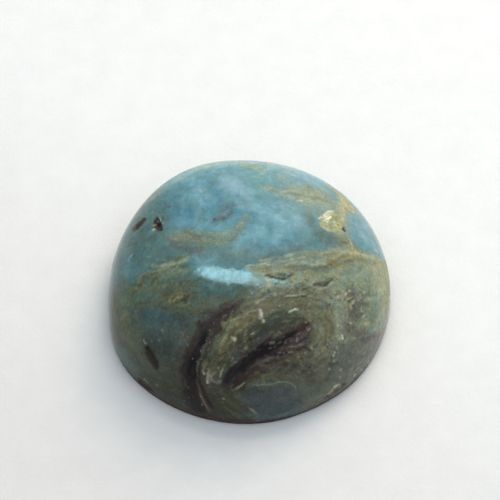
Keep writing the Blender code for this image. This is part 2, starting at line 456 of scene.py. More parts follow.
BLUE_CLOUDS_AND_RIM_SHEEN = (
    ("sea_green", 0.70, 14, 0, ((180, 176, 5), (212, 166, 5), (262, 167, 6), (300, 172, 4))),
    ("sea_green", 0.70, 14, 0, ((248, 180, 5), (260, 186, 8), (266, 198, 4))),
    ("grey_teal", 0.35, 20, 0, ((168, 196, 6), (176, 206, 8), (168, 222, 6))),
    ("pale_sky", 0.30, 14, 0, ((232, 190, 5), (244, 196, 6))),
    ("pale_sky", 0.35, 14, 0, ((236, 226, 4), (246, 234, 6), (240, 246, 4))),
    ("pale_sage", 0.30, 12, 0, ((308, 188, 4), (322, 198, 5))),
    ("grey_teal", 0.55, 18, 0, ((138, 226, 9), (148, 238, 10), (142, 256, 10))),
    ("grey_teal", 0.35, 16, 0, ((166, 226, 6), (180, 226, 6), (188, 228, 4))),
    ("teal", 0.40, 12, 0, ((116, 262, 5), (117, 282, 5))),
    ("moss", 0.30, 14, 0, ((116, 262, 6), (118, 282, 6))),
    ("sea_grey", 0.32, 18, 0, ((162, 232, 6), (148, 234, 9), (138, 240, 9), (138, 256, 9))),
    ("pale_sky", 0.45, 18, 0, ((262, 166, 4), (290, 169, 5), (318, 184, 6))),
    ("pale_sky", 0.40, 18, 0, ((200, 178, 4), (214, 170, 5), (236, 167, 4))),
    ("straw", 0.16, 18, 0, ((286, 176, 4), (304, 190, 8), (322, 200, 9), (338, 216, 8))),
    # Painted reflection: a pale sky line and a thin cream line along the top rim stand for the pale
    # floor caught by the polish at a grazing angle
    ("pale_sky", 0.50, 7, 0, ((176, 182, 1), (200, 169, 2), (225, 163, 2.4), (250, 161, 2.4),
                              (280, 164, 2.4), (308, 173, 2), (330, 187, 1))),
    ("cream", 0.34, 3.4, 0.2, ((146, 203, 0.5), (172, 183, 0.8), (200, 168.8, 1.2), (232, 163, 1.8),
                               (262, 162.4, 1.8), (292, 166.6, 1.3), (316, 176, 0.8))),
    ("sea_green", 0.25, 8, 0, ((172, 190, 3), (186, 182, 3), (200, 176, 3))),
    ("pale_sky", 0.42, 14, 0, ((214, 189, 5), (232, 194, 6), (248, 192, 5))),
    ("leaf", 0.28, 14, 0, ((226, 250, 5), (246, 255, 6))),
    ("sea_grey", 0.22, 14, 0, ((152, 234, 5), (166, 228, 6))),
    ("sage", 0.20, 20, 0, ((182, 212, 8), (150, 228, 12), (142, 252, 12), (176, 262, 10))),
    ("cream", 0.20, 16, 0, ((280, 174, 4), (290, 188, 6), (306, 194, 8), (324, 206, 7))),
    ("cream", 0.14, 18, 0, ((284, 208, 7), (300, 216, 8), (302, 236, 6))),
    ("cream", 0.22, 12, 0, ((336, 204, 5), (345, 220, 6), (344, 238, 5))),
    ("pink", 0.08, 14, 0, ((182, 204, 5), (198, 212, 6), (196, 228, 6), (176, 232, 5))),
    ("cream", 0.14, 10, 0, ((294, 190, 4), (310, 191, 5), (324, 193, 4))),
    ("cream", 0.12, 10, 0, ((334, 228, 4), (344, 236, 5), (352, 246, 4))),
    ("pink", 0.13, 12, 0, ((196, 251, 5), (222, 254, 6), (262, 252, 6), (300, 250, 5))),
    ("lilac_sky", 0.30, 12, 0, ((213, 187, 4), (224, 195, 5))),
    ("deep_blue", 0.55, 18, 0, ((176, 206, 6), (182, 220, 8), (186, 232, 5))),
    ("deep_blue", 0.72, 12, 0, ((211, 184, 3), (216, 193, 6), (220, 203, 5), (214, 212, 4))),
    ("deep_blue", 0.70, 9, 0, ((190, 204, 2), (189, 214, 4), (191, 226, 3))),
    ("deep_blue", 0.65, 18, 0, ((230, 206, 7), (242, 214, 9), (246, 226, 5))),
    ("deep_blue", 0.40, 16, 0, ((262, 246, 5), (286, 244, 7), (304, 232, 6))),
    ("deep_blue", 0.45, 8, 0, ((262, 196, 2), (266, 206, 3), (262, 216, 2))),
    ("deep_blue", 0.30, 8, 0, ((282, 212, 2), (286, 220, 3), (292, 226, 2))),
    ("pale_sky", 0.60, 12, 0, ((193, 184, 4), (199, 192, 7), (204, 202, 5))),
    ("lilac_sky", 0.75, 14, 0, ((226, 180, 5), (236, 186, 8), (242, 196, 6), (250, 204, 4))),
    ("pale_sky", 0.60, 16, 0, ((258, 206, 6), (270, 214, 9), (286, 222, 8), (298, 216, 4))),
    ("pale_sky", 0.40, 14, 0, ((258, 232, 5), (276, 234, 6))),
    ("lilac_sky", 0.60, 9, 0, ((284, 173, 2), (295, 177, 4), (306, 182, 3))),
    ("pale_sky", 0.35, 12, 0, ((168, 226, 3), (182, 222, 6), (198, 224, 4))),
    ("pale_sky", 0.45, 10, 0, ((196, 256, 3), (202, 262, 4), (212, 260, 3))),
    ("pale_sky", 0.24, 14, 0, ((362, 222, 4), (370, 236, 6), (376, 248, 4))),
    ("pink", 0.14, 12, 0, ((356, 222, 4), (366, 236, 6), (380, 240, 5))),
    ("pale_sky", 0.28, 10, 0, ((216, 206, 4), (221, 213, 5), (218, 220, 4))),
    ("white", 0.45, 1.6, 0, ((198.5, 190, 0.5), (202, 192, 0.8))),
    ("white", 0.40, 1.6, 0, ((290, 174, 0.5), (296, 176.5, 0.7))),
    ("lilac_sky", 0.50, 3, 0, ((274, 207, 0.5), (284, 205, 0.9), (294, 208, 0.5))),
    ("lilac_sky", 0.50, 3, 0, ((284, 222, 0.5), (292, 220, 0.9), (300, 222, 0.5))),
    ("deep_blue", 0.55, 3, 0, ((202, 196, 0.6), (207, 204, 0.9), (206, 212, 0.6))),
    ("deep_blue", 0.55, 3, 0, ((240, 188, 0.6), (238, 198, 0.8), (231, 204, 0.6))),
    ("deep_blue", 0.45, 4, 0, ((266, 220, 0.6), (272, 230, 1), (270, 240, 0.6))),
    ("white", 0.40, 2, 0, ((375, 250, 0.4), (378, 253, 0.6))),
)
BROWN_VEIN = (
    ("leaf", 0.60, 12, 0.1, ((168, 238, 3), (184, 238, 7), (206, 240, 8), (226, 239, 6),
                             (240, 230, 4), (247, 217, 1))),
    ("pale_sage", 0.52, 11, 0.2, ((170, 237, 2), (184, 237, 5), (204, 239, 5), (224, 239, 4),
                                  (238, 230, 3), (246, 216, 1))),
    ("umber", 0.30, 8, 0.2, ((170, 239, 1), (184, 238, 3), (198, 240, 4), (210, 241, 2))),
    ("pale_sage", 0.50, 4, 0.2, ((176, 233, 0.8), (196, 232.5, 1.4), (214, 234, 1.6),
                                 (228, 232.5, 2), (238, 226, 1.6), (246, 215, 0.8))),
    ("mauve", 0.55, 9, 0.2, ((173, 246, 2), (186, 249, 4), (198, 251, 3))),
    ("pink", 0.40, 4, 0.2, ((168, 241, 1), (180, 239, 2), (194, 239, 2), (206, 241.6, 1.4))),
    ("rust", 0.42, 2.2, 0.2, ((168, 241, 0.7), (176, 241.4, 0.9), (184, 240, 0.6))),
    ("rust", 0.50, 2.0, 0.2, ((190, 238.6, 0.6), (197, 240, 0.9), (203, 243, 0.8),
                              (209, 247, 0.5))),
    ("mauve", 0.45, 6, 0, ((220, 212, 2), (227, 208, 3), (233, 206, 2))),
    ("maroon", 0.60, 3, 0.2, ((213, 221, 1), (219, 219.5, 1.3), (225, 218, 1.3),
                              (231, 214, 0.8))),
    ("maroon", 0.75, 1.6, 0, ((213.4, 220.4, 0.8), (214.6, 220.6, 0.7))),
    ("mauve", 0.35, 9, 0, ((212, 222, 2), (222, 217, 4), (232, 212, 2))),
    ("rust", 0.50, 1.6, 0, ((218, 220.5, 0.6), (222, 220, 0.7))),
    ("pale_sage", 0.30, 5, 0.2, ((222, 244, 0.8), (236, 241, 1.2), (246, 233, 0.8))),
)
PITS_AND_GLINTS = (
    ("maroon", 0.95, 2.4, 0, ((133, 228, 1.6), (139, 224, 3), (144, 219.5, 2.2))),
    ("rust", 0.80, 1.8, 0, ((131, 229.5, 1), (135, 226.5, 1), (138, 222, 0.7))),
    ("grey_teal", 0.70, 1.2, 0, ((136.6, 220.6, 0.4), (138.6, 222.8, 0.6))),
    ("sage", 0.60, 1.2, 0, ((141.6, 217.4, 0.4), (143.4, 220.6, 0.5))),
    ("grey_teal", 0.60, 1.2, 0, ((139.4, 227.4, 0.5), (141.4, 225, 0.4))),
    ("pale_sage", 0.50, 2, 0, ((134, 219, 0.6), (138, 215, 1), (142, 213, 0.5))),
    ("maroon", 0.95, 2.2, 0, ((156.6, 217.6, 1.2), (157.6, 223, 4), (159, 228.6, 4))),
    ("black", 0.85, 1.8, 0, ((157.6, 220, 1.2), (159.6, 225, 2.6), (161, 229.4, 1.6))),
    ("rust", 0.50, 1.4, 0, ((155.4, 219, 0.5), (158, 222.6, 0.6))),
    # Painted highlights: these two cream flecks stand for glints on the dark pit's left side
    ("cream", 0.80, 1.1, 0, ((153.2, 224.8, 0.4), (154.6, 226, 0.5))),
    ("cream", 0.85, 1.1, 0, ((152.6, 230.6, 0.5), (155.5, 230, 0.5))),
    ("black", 0.70, 1.4, 0, ((154.6, 209.6, 0.5), (155.4, 210.4, 0.4))),
    ("black", 0.60, 1.4, 0, ((150.6, 214.6, 0.4), (151.6, 215.4, 0.4))),
    ("black", 0.60, 1.4, 0, ((165.6, 212.6, 0.4), (166.4, 213.4, 0.4))),
    # Painted highlight: a white streak stands for a glint on the dark pit's right side
    ("white", 0.60, 1.1, 0, ((159.5, 217.6, 0.3), (161.5, 220, 0.4), (162.5, 223, 0.3))),
    ("maroon", 0.75, 1.6, 0, ((163.6, 201.6, 0.5), (165.4, 203.4, 0.6))),
    ("rust", 0.75, 1.8, 0, ((166.4, 205.4, 0.5), (169.6, 206, 0.9))),
    ("black", 0.75, 1.5, 0, ((159.8, 211.6, 0.6), (160.6, 212.6, 0.5))),
    ("pale_sage", 0.50, 2, 0, ((152, 211.5, 0.8), (156, 212.4, 0.6))),
    ("black", 0.75, 1.5, 0, ((135.2, 243.2, 0.6), (136.4, 244, 0.5))),
    ("pale_sky", 0.55, 1.8, 0, ((129, 260.5, 0.4), (131.6, 257, 0.7), (133.4, 255, 0.4))),
    ("teal", 0.55, 9, 0, ((138, 246, 3), (143, 250, 4))),
    ("deep_blue", 0.35, 10, 0, ((126, 262, 4), (134, 268, 6), (130, 282, 5))),
    ("sea_green", 0.40, 8, 0, ((116, 254, 2), (113, 272, 3), (112, 292, 2))),
)
TAN_VEINS = (
    ("pale_sage", 0.50, 12, 0.3, ((270, 191, 2), (300, 196, 6), (328, 204, 6), (340, 212, 4))),
    ("sage", 0.55, 12, 0.2, ((306, 214, 3), (314, 228, 5), (332, 240, 6), (350, 247, 4))),
    ("straw", 0.66, 4.4, 0.2, ((262, 187.4, 0.6), (272, 188.6, 1), (281, 191, 1.4), (296, 190.8, 1.5),
                           (311, 194.6, 1.2), (325, 200.4, 0.9))),
    ("straw", 0.50, 4.4, 0.2, ((275, 195, 0.5), (290, 197.6, 1.1), (305, 199.4, 1.2),
                           (318, 202.6, 1.1), (327, 206.6, 0.6))),
    ("olive", 0.35, 2.6, 0, ((284, 194, 0.5), (298, 194.4, 0.8), (312, 198, 0.6), (322, 201.8, 0.4))),
    ("pale_sage", 0.50, 2.4, 0, ((292, 187.6, 0.4), (306, 189.6, 0.8), (319, 195.6, 0.5))),
    ("white", 0.75, 1.4, 0, ((297.6, 199.2, 0.4), (301, 199.8, 0.7), (303, 200.2, 0.3))),
    ("straw", 0.97, 2.4, 0.2, ((326, 183, 0.8), (334, 190, 1.6), (341, 197, 2.8), (346, 204, 4),
                               (350, 209, 3.8), (354.6, 212.4, 2.2), (358.6, 214.4, 0.5))),
    ("cream", 0.50, 3, 0.2, ((334, 189, 0.8), (341, 196, 1.4), (347.6, 204.4, 2.4),
                             (353, 211, 1.6))),
    ("sage", 0.45, 1.6, 0, ((345, 214.6, 0.8), (348.6, 212.6, 0.7), (351.4, 213.8, 0.5))),
    ("pink", 0.45, 2.4, 0, ((345, 200.6, 0.8), (350, 207, 1.4), (355, 212, 0.8))),
    ("olive", 0.55, 1.6, 0, ((345.6, 206, 0.4), (346, 211, 0.6), (347.4, 215, 0.6))),
    ("straw", 0.55, 5, 0, ((240, 165, 1), (250, 166.4, 1.4), (262, 167.6, 1.2))),
    ("cream", 0.45, 3.5, 0, ((269, 165.4, 1.2), (265.6, 170, 1.4), (262, 172, 0.6))),
    ("pale_sage", 0.35, 3, 0, ((178, 184, 0.6), (194, 175, 0.8), (216, 167, 0.6))),
    ("straw", 0.97, 2, 0.1, ((324, 224, 3.4), (331, 222.6, 7.4), (337, 223, 8), (340.6, 228, 4.4))),
    ("tan", 0.85, 1.8, 0, ((338, 213, 2), (343, 219, 3), (345.4, 225, 1.6))),
    ("olive", 0.45, 2.4, 0, ((333, 223, 1.4), (337, 219, 1.4), (339.6, 226, 1))),
    ("straw", 0.92, 2.4, 0.2, ((340, 226, 3), (343, 217, 3.4), (344, 208, 3), (343, 200, 2.4))),
    ("straw", 0.85, 3, 0.2, ((323, 223.6, 3.4), (330, 225, 5), (338, 226, 5))),
    ("cream", 0.30, 6, 0, ((341, 202, 3), (344, 210, 4), (344, 218, 3))),
    ("ochre", 0.35, 2.0, 0.2, ((346, 224, 0.5), (346.4, 215, 0.9), (345, 206, 0.6))),
    ("cream", 0.90, 1.6, 0, ((318.6, 218, 1), (324, 216.4, 2.6), (330.4, 214.8, 2.8))),
    ("white", 0.97, 1.1, 0, ((317.8, 218.2, 0.6), (321.6, 216.8, 1.5), (326, 215, 1.5))),
    ("white", 0.95, 1.1, 0, ((323, 220.4, 0.6), (327.6, 218.8, 1.5), (331.6, 216.2, 1.1))),
    ("white", 0.85, 1.0, 0, ((320.6, 220.4, 0.4), (324.4, 221.6, 0.6), (329, 222, 0.4))),
    ("white", 0.80, 1.2, 0, ((325, 213, 0.5), (330, 212.4, 0.7), (334, 213.4, 0.4))),
    ("olive", 0.60, 1.2, 0, ((331.6, 215, 0.5), (333, 218.6, 0.7), (331, 222, 0.5))),
    ("cream", 0.75, 1.4, 0, ((321, 226.4, 0.5), (327, 230.6, 1), (333, 231.4, 0.9),
                             (339.6, 233.2, 0.6), (345.6, 232, 0.4))),
    ("cream", 0.55, 1.5, 0, ((336.6, 212.6, 0.6), (342, 216, 0.8), (345.4, 222, 0.6))),
    ("white", 0.55, 1.2, 0, ((334.4, 220, 0.3), (336.4, 222.4, 0.6), (335.4, 225, 0.3))),
    ("cream", 0.60, 1.5, 0, ((346, 214.6, 0.3), (346.4, 219.6, 0.6), (346.6, 225, 0.3))),
    ("tan", 0.80, 1.8, 0, ((348.4, 232.6, 0.5), (350.6, 239.6, 0.7), (352.6, 249.6, 0.6),
                           (351, 255, 0.4))),
    ("sage", 0.35, 2.4, 0, ((322, 233, 0.4), (330, 237.4, 0.8), (340, 239.6, 0.5))),
    ("black", 1.00, 1.6, 0, ((344.2, 228, 1.7), (345, 229.4, 1.7))),
    ("rust", 0.90, 1.0, 0, ((345, 228.4, 0.5), (344.6, 229.6, 0.4))),
)
RIGHT_SIDE = (
    ("pale_sage", 0.35, 9, 0.1, ((304, 187, 3), (316, 193, 4), (328, 199, 3))),
    ("pale_sage", 0.40, 8, 0.1, ((336, 233, 4), (344, 239, 4), (350, 247, 4))),
    ("straw", 0.42, 9, 0, ((384, 264, 5), (387, 290, 6), (386, 312, 6), (380, 332, 5))),
    ("pale_sage", 0.40, 12, 0, ((340, 304, 4), (338, 316, 6), (341, 328, 4))),
    ("cream", 0.36, 9, 0, ((370, 268, 4), (382, 274, 6), (386, 294, 6), (384, 316, 5))),
    ("cream", 0.17, 14, 0, ((366, 278, 7), (346, 300, 6), (342, 316, 6))),
    ("pink", 0.14, 10, 0, ((316, 322, 4), (321, 338, 5), (320, 354, 5))),
    ("grey", 0.50, 12, 0.2, ((318, 344, 5), (334, 352, 9), (356, 352, 9), (346, 368, 9))),
    ("pink", 0.16, 14, 0, ((330, 348, 6), (352, 354, 10), (372, 342, 6))),
    ("mauve", 0.45, 10, 0.1, ((344, 328, 4), (358, 334, 7), (372, 338, 5))),
    ("pale_sage", 0.45, 9, 0.1, ((304, 206, 3), (316, 211, 5), (322, 222, 4))),
    ("pale_sage", 0.45, 8, 0.1, ((334, 208, 4), (342, 214, 5), (347, 226, 4))),
    ("sage", 0.40, 10, 0.1, ((334, 236, 4), (346, 238, 5), (352, 246, 4))),
    ("pale_sage", 0.80, 12, 0.1, ((352, 272, 4), (364, 274, 9), (382, 280, 6))),
    ("cream", 0.34, 12, 0.1, ((358, 269, 5), (372, 272, 7), (384, 282, 5), (386, 298, 3))),
    ("leaf", 0.45, 12, 0.2, ((340, 284, 3), (356, 288, 5), (372, 286, 4))),
    ("tan", 0.60, 3, 0.1, ((384, 270, 1), (387, 284, 1.8), (388, 298, 1.8), (387, 312, 1.2))),
    ("grey_teal", 0.55, 7, 0, ((383, 288, 1), (384, 302, 1.6), (382, 316, 1))),
    ("grey", 0.80, 10, 0.2, ((350, 292, 5), (356, 303, 11), (353, 317, 9))),
    ("mauve", 0.22, 9, 0.2, ((352, 294, 4), (358, 304, 8), (355, 316, 6))),
    ("moss", 0.30, 6, 0.2, ((350, 296, 2), (355, 306, 4), (352, 315, 3))),
    ("leaf", 0.50, 8, 0.1, ((374, 296, 3), (375, 308, 6), (372, 320, 4))),
    ("cream", 0.22, 9, 0, ((376, 284, 5), (384, 300, 6), (382, 318, 5), (376, 328, 3))),
    ("sea_green", 0.30, 6, 0.1, ((374, 292, 2), (377, 306, 3))),
    ("mauve", 0.42, 9, 0.2, ((345, 326, 4), (358, 333, 7), (373, 338, 5))),
    ("grey", 0.35, 14, 0.1, ((344, 345, 5), (358, 348, 8), (366, 358, 5))),
    ("rust", 0.60, 4, 0.1, ((370, 338, 1.8), (377, 336, 2.6), (380, 330, 1.2))),
    ("pink", 0.25, 6, 0, ((368, 344, 3), (375, 340, 4), (381, 332, 2))),
    ("tan", 0.65, 3, 0.2, ((349, 322.6, 0.6), (358, 322.8, 1.2), (367, 326, 1.5),
                           (374, 331, 1.2), (378, 333.6, 0.6))),
    ("pale_sage", 0.50, 4, 0.2, ((372, 322, 1), (377, 326, 2), (380, 322, 1))),
    ("sea_grey", 0.45, 18, 0.1, ((338, 352, 7), (352, 364, 11), (338, 382, 10))),
    ("grey", 0.30, 18, 0.1, ((338, 352, 7), (352, 364, 11), (338, 382, 10))),
    ("mauve", 0.25, 14, 0.1, ((340, 350, 6), (354, 358, 8), (346, 372, 7))),
    ("pink", 0.20, 9, 0, ((300, 406, 3), (326, 396, 4), (342, 386, 5), (354, 374, 4))),
    ("cream", 0.24, 6, 0, ((340, 206, 3), (342, 214, 4), (343, 222, 3))),
    ("tan", 0.26, 9, 0, ((338, 230, 4), (342, 238, 5), (348, 246, 4))),
)
TAN_BAND_AND_BAR_GLINT = (
    ("tan", 0.70, 3, 0.2, ((247, 266.4, 1), (254, 268.4, 2.4), (261, 271, 3.2), (270, 269, 4))),
    ("olive", 0.50, 3, 0.2, ((249, 270, 0.6), (255, 273.6, 1.4), (262, 275.6, 1.6))),
    ("sage", 0.70, 9, 0.4, ((262, 260, 2), (284, 257, 4), (308, 257, 4), (336, 254, 4))),
    ("tan", 0.62, 9, 0.2, ((326, 257, 3), (342, 252, 6), (360, 253, 5), (374, 258, 3))),
    ("umber", 0.70, 10, 0.4, ((256, 268, 3), (280, 266, 5), (306, 267, 5), (326, 266, 5),
                             (342, 262, 4))),
    ("straw", 0.68, 8, 0.5, ((387, 272, 0.8), (381, 264, 1.8), (371, 258.6, 2.6), (357, 255.6, 3),
                           (346, 257, 3.4), (334, 261, 2.4), (318, 262, 2), (300, 260.6, 1.6),
                           (282, 262, 1.4), (264, 263.6, 0.8))),
    ("tan", 0.50, 5, 0.4, ((384, 274, 0.6), (376, 266, 1), (366, 262, 1.2), (354, 261, 0.8))),
    ("ochre", 0.65, 4, 0.3, ((342, 259, 1.2), (349, 255.4, 2.2), (355, 257, 1.6))),
    ("brown", 0.45, 3, 0.3, ((343, 262, 0.6), (350, 260, 1.1), (356, 260, 0.6))),
    ("tan", 0.40, 5, 0.4, ((262, 272, 0.8), (272, 270.6, 1), (286, 271.6, 1), (294, 271, 0.8))),
    ("umber", 0.40, 8, 0.3, ((292, 272, 3), (302, 272, 4), (312, 272, 3))),
    ("olive", 0.50, 5, 0.3, ((264, 267.4, 0.7), (282, 267, 1.1), (300, 266, 1), (318, 266.4, 0.8),
                             (332, 265, 0.6))),
    ("pale_sage", 0.55, 9, 0.2, ((340, 268, 4), (352, 270, 7), (366, 272, 7), (380, 276, 5))),
    ("sea_grey", 0.40, 6, 0, ((343, 274, 1), (350, 272, 3), (358, 270, 2))),
    ("tan", 0.75, 3.5, 0.3, ((342, 263, 1), (339, 270, 1.8), (335.6, 277, 2), (336.4, 286, 1.8),
                             (332, 292, 1))),
    ("straw", 0.55, 3, 0.3, ((351, 254.6, 0.8), (362, 254.4, 1.4), (374, 258.4, 1.4),
                             (383, 265, 1.2), (388, 272, 0.8))),
    ("ochre", 0.60, 4, 0.3, ((328, 266, 1), (336, 260, 2), (344, 256, 2.6), (351, 257, 1.4))),
    ("straw", 0.34, 10, 0.1, ((262, 269, 4), (276, 270, 5), (286, 271, 4))),
    ("tan", 0.40, 9, 0.2, ((333, 268, 4), (343, 270, 5), (350, 277, 4))),
    ("brown", 0.34, 10, 0.2, ((254, 291, 5), (270, 292, 6), (288, 292, 5))),
    ("umber", 0.30, 9, 0.3, ((296, 290, 4), (310, 290, 5), (322, 293, 4))),
    ("black", 1.00, 1.8, 0, ((264.6, 276, 0.9), (267.6, 274.6, 1.2), (271.6, 276.6, 1.5),
                             (278, 278.2, 1.7), (285, 277, 1.5), (290.6, 274, 1))),
    ("slate", 0.80, 2, 0, ((275, 274.6, 0.6), (284, 273.8, 1), (290, 272.4, 0.5))),
    # Painted reflection: this cyan dash below the fissure stands for the ceiling bar mirrored in the
    # fissure's lower bank
    ("sea_green", 0.60, 2, 0, ((266, 280, 1), (272, 280.2, 1.5), (280, 280.8, 1.4),
                               (288, 280, 0.8))),
    ("olive", 0.60, 1.4, 0, ((275, 283.6, 0.7), (278.4, 279.8, 0.8))),
    ("tan", 0.65, 1.4, 0, ((284, 283.4, 0.7), (286.4, 279.8, 0.7))),
    # Painted highlight: a white fleck at the left end of the same reflection
    ("white", 0.55, 1.2, 0, ((266, 281.6, 0.5), (268.4, 280.4, 0.6))),
    ("cream", 0.70, 2, 0, ((267.6, 288, 0.6), (269, 282.6, 1.5), (270.6, 279.4, 0.7))),
    ("tan", 0.75, 2.4, 0.2, ((256, 301, 1), (260.6, 293.6, 1.6), (268.6, 288, 1.4), (277, 291.6, 1.4),
                             (289, 292.6, 1.2), (302, 291.6, 1.1))),
    ("cream", 0.50, 1.8, 0, ((256.4, 303, 0.8), (259.6, 299.4, 1.1), (265, 299, 0.7))),
    ("moss", 0.75, 2.2, 0, ((259, 297.4, 0.8), (266, 295, 1.2), (274, 297, 1.3), (284, 297, 0.9))),
    ("moss", 0.65, 2.2, 0, ((272, 286.6, 0.7), (280, 286.6, 1.2), (288, 288.2, 0.8))),
    ("olive", 0.30, 8, 0.3, ((270, 291, 4), (296, 291, 5), (322, 294, 5))),
    ("slate", 0.85, 2.4, 0.2, ((314, 284, 1.6), (319, 283, 3), (325, 283.6, 3.2), (331, 280, 1.8))),
    ("black", 0.60, 2, 0.2, ((316, 285.6, 0.8), (321, 284, 1.4), (327, 285, 1.4), (330, 281, 0.8))),
    ("cream", 0.80, 1.6, 0, ((317.6, 277, 0.5), (314, 281.4, 0.9), (312.6, 285, 0.6))),
    ("tan", 0.80, 1.8, 0, ((333.6, 275.6, 0.8), (332.4, 279.6, 1), (331, 284, 0.6))),
    ("cream", 0.55, 1.8, 0, ((291, 279, 0.6), (295, 281.4, 1), (293, 285, 0.6))),
    ("moss", 0.55, 4, 0.2, ((292, 288, 1.4), (302, 285.6, 2.4), (311, 288, 1.6))),
    ("cream", 0.26, 8, 0, ((334, 250, 3), (343, 252, 4), (352, 254, 3))),
    ("straw", 0.24, 8, 0.1, ((288, 254, 3), (304, 254, 4), (320, 252, 3))),
    ("cream", 0.32, 10, 0, ((374, 268, 5), (383, 276, 5), (384, 288, 4))),
    ("sea_green", 0.22, 10, 0, ((352, 272, 4), (362, 272, 5), (370, 274, 4))),
    ("tan", 0.26, 8, 0.2, ((312, 272, 3), (321, 273, 4), (328, 276, 3))),
    ("brown", 0.16, 9, 0, ((254, 292, 4), (270, 292, 5), (288, 292, 4), (300, 294, 3))),
    ("pale_sky", 0.22, 7, 0, ((250, 272, 3), (262, 275, 3))),
)
LEFT_SIDE = (
    ("leaf", 0.35, 12, 0, ((172, 268, 4), (186, 272, 6), (198, 276, 4))),
    ("tan", 0.28, 8, 0.2, ((150, 273, 4), (166, 272, 5))),
    ("leaf", 0.65, 12, 0.3, ((186, 268, 4), (164, 278, 8), (142, 288, 9), (120, 300, 6))),
    ("olive", 0.55, 8, 0.4, ((168, 270, 3), (152, 276, 4), (140, 284, 4), (132, 292, 3))),
    ("straw", 0.56, 4.2, 0.4, ((152.6, 264.6, 0.4), (158, 265.6, 1.6), (166, 264.8, 2.2),
                           (175, 262.6, 2.6), (182, 259.6, 2.2), (188, 256.6, 0.8))),
    ("tan", 0.40, 3, 0.4, ((150, 272, 0.6), (158, 270, 1.2), (168, 268.6, 1), (178, 266, 0.6))),
    ("sea_grey", 0.50, 6, 0.2, ((166, 280, 2), (178, 276, 3.4), (190, 276, 2))),
    ("leaf", 0.45, 5, 0.3, ((130, 304, 1.4), (146, 296, 2), (160, 292, 1.4))),
    ("sea_grey", 0.85, 12, 0.1, ((198, 290, 6), (216, 290, 9), (236, 286, 7))),
    ("teal", 0.45, 10, 0.1, ((212, 286, 3), (226, 288, 5), (238, 284, 3))),
    ("teal", 0.50, 8, 0.1, ((186, 276, 2), (200, 283, 4), (214, 290, 3))),
    ("olive", 0.85, 5, 0.3, ((172, 297, 3.4), (179, 300, 6), (187, 299, 5))),
    ("ochre", 0.80, 3, 0.2, ((170.4, 301.6, 1.2), (172, 296.6, 1.4), (177, 293, 1.2),
                             (184, 293.4, 0.8))),
    ("tan", 0.60, 2.4, 0.2, ((174, 301, 1), (178, 297.4, 1.2), (182.6, 296.6, 0.8))),
    ("tan", 0.50, 2.4, 0.2, ((176, 305, 0.8), (183, 305.6, 1), (190, 303, 0.7))),
    ("moss", 0.85, 2.4, 0.1, ((182, 300.6, 1), (186, 299, 1.8), (188.6, 295.6, 1))),
    ("black", 0.55, 1.8, 0, ((184.6, 302.4, 0.5), (186.4, 300.6, 0.7))),
    ("sage", 0.75, 6, 0.4, ((170, 306, 1.4), (180, 308, 3), (192, 311.6, 3.4), (204, 316, 2.4))),
    ("umber", 0.45, 3, 0.4, ((178, 310, 0.8), (190, 312.6, 1.2), (200, 316, 0.8))),
    ("sea_grey", 0.95, 10, 0.1, ((146, 318, 7), (162, 322, 12), (180, 326, 9))),
    ("teal", 0.26, 9, 0.1, ((148, 310, 3), (156, 316, 5), (170, 318, 4))),
    ("indigo", 0.26, 14, 0, ((142, 312, 6), (160, 314, 8), (180, 318, 6))),
    ("mauve", 0.16, 14, 0, ((160, 326, 6), (176, 334, 8), (186, 344, 6))),
    ("sea_green", 0.20, 10, 0, ((116, 344, 3), (126, 360, 4), (136, 372, 3))),
    ("sage", 0.16, 12, 0, ((132, 272, 6), (150, 274, 5), (180, 272, 6), (194, 268, 4))),
    ("tan", 0.24, 8, 0.3, ((150, 272, 3), (164, 272, 4), (182, 270, 4))),
    ("moss", 0.14, 9, 0, ((156, 292, 4), (166, 292, 4))),
    ("olive", 0.20, 14, 0.2, ((134, 296, 5), (156, 286, 6), (176, 280, 5), (190, 276, 3))),
    ("olive", 0.20, 10, 0.2, ((190, 304, 4), (200, 310, 4), (210, 312, 3))),
    ("frost", 0.30, 7, 0, ((213, 268, 3), (220, 272, 4), (222, 279, 3))),
    ("grey", 0.16, 10, 0, ((132, 324, 4), (140, 334, 6), (144, 344, 3))),
    ("indigo", 0.50, 16, 0, ((150, 338, 6), (166, 345, 9), (178, 352, 6))),
    ("mauve", 0.34, 12, 0.1, ((184, 322, 4), (186, 336, 5), (180, 350, 4))),
    ("dusk", 0.22, 12, 0.1, ((186, 324, 4), (187, 340, 5), (184, 356, 5))),
    ("mauve", 0.26, 10, 0, ((178, 366, 5), (182, 380, 6))),
    ("grey", 0.16, 8, 0, ((115, 324, 3), (120, 340, 5))),
    ("umber", 0.60, 5, 0.4, ((121, 315, 1.6), (124, 322, 2.6), (122, 332, 2))),
    ("tan", 0.45, 2.6, 0.3, ((120, 319, 0.8), (124, 315.6, 1.2), (129, 314, 0.7))),
    ("sage", 0.60, 6, 0.3, ((132, 316, 1.6), (134, 328, 2.6), (130, 342, 2))),
    ("umber", 0.45, 5, 0.3, ((126, 328, 1), (129, 338, 1.8), (133, 348, 1.2))),
    ("moss", 0.75, 9, 0.1, ((110, 262, 2), (111, 290, 4), (113, 320, 5), (120, 346, 4))),
    ("teal", 0.75, 10, 0.1, ((118, 240, 2), (112, 262, 5), (110, 284, 4))),
    ("cream", 0.75, 1.2, 0, ((143.6, 341, 0.4), (144.6, 343, 0.4))),
    ("cream", 0.75, 1.2, 0, ((158.4, 341.6, 0.6), (158.6, 342, 0.6))),
    ("pale_sage", 0.65, 1.4, 0, ((162, 329.6, 0.6), (163, 332.6, 0.5))),
    ("cream", 0.45, 1.2, 0, ((156, 383.6, 0.5), (156.6, 384, 0.5))),
    ("cream", 0.40, 1.2, 0, ((135, 360, 0.5), (135.6, 361, 0.4))),
)
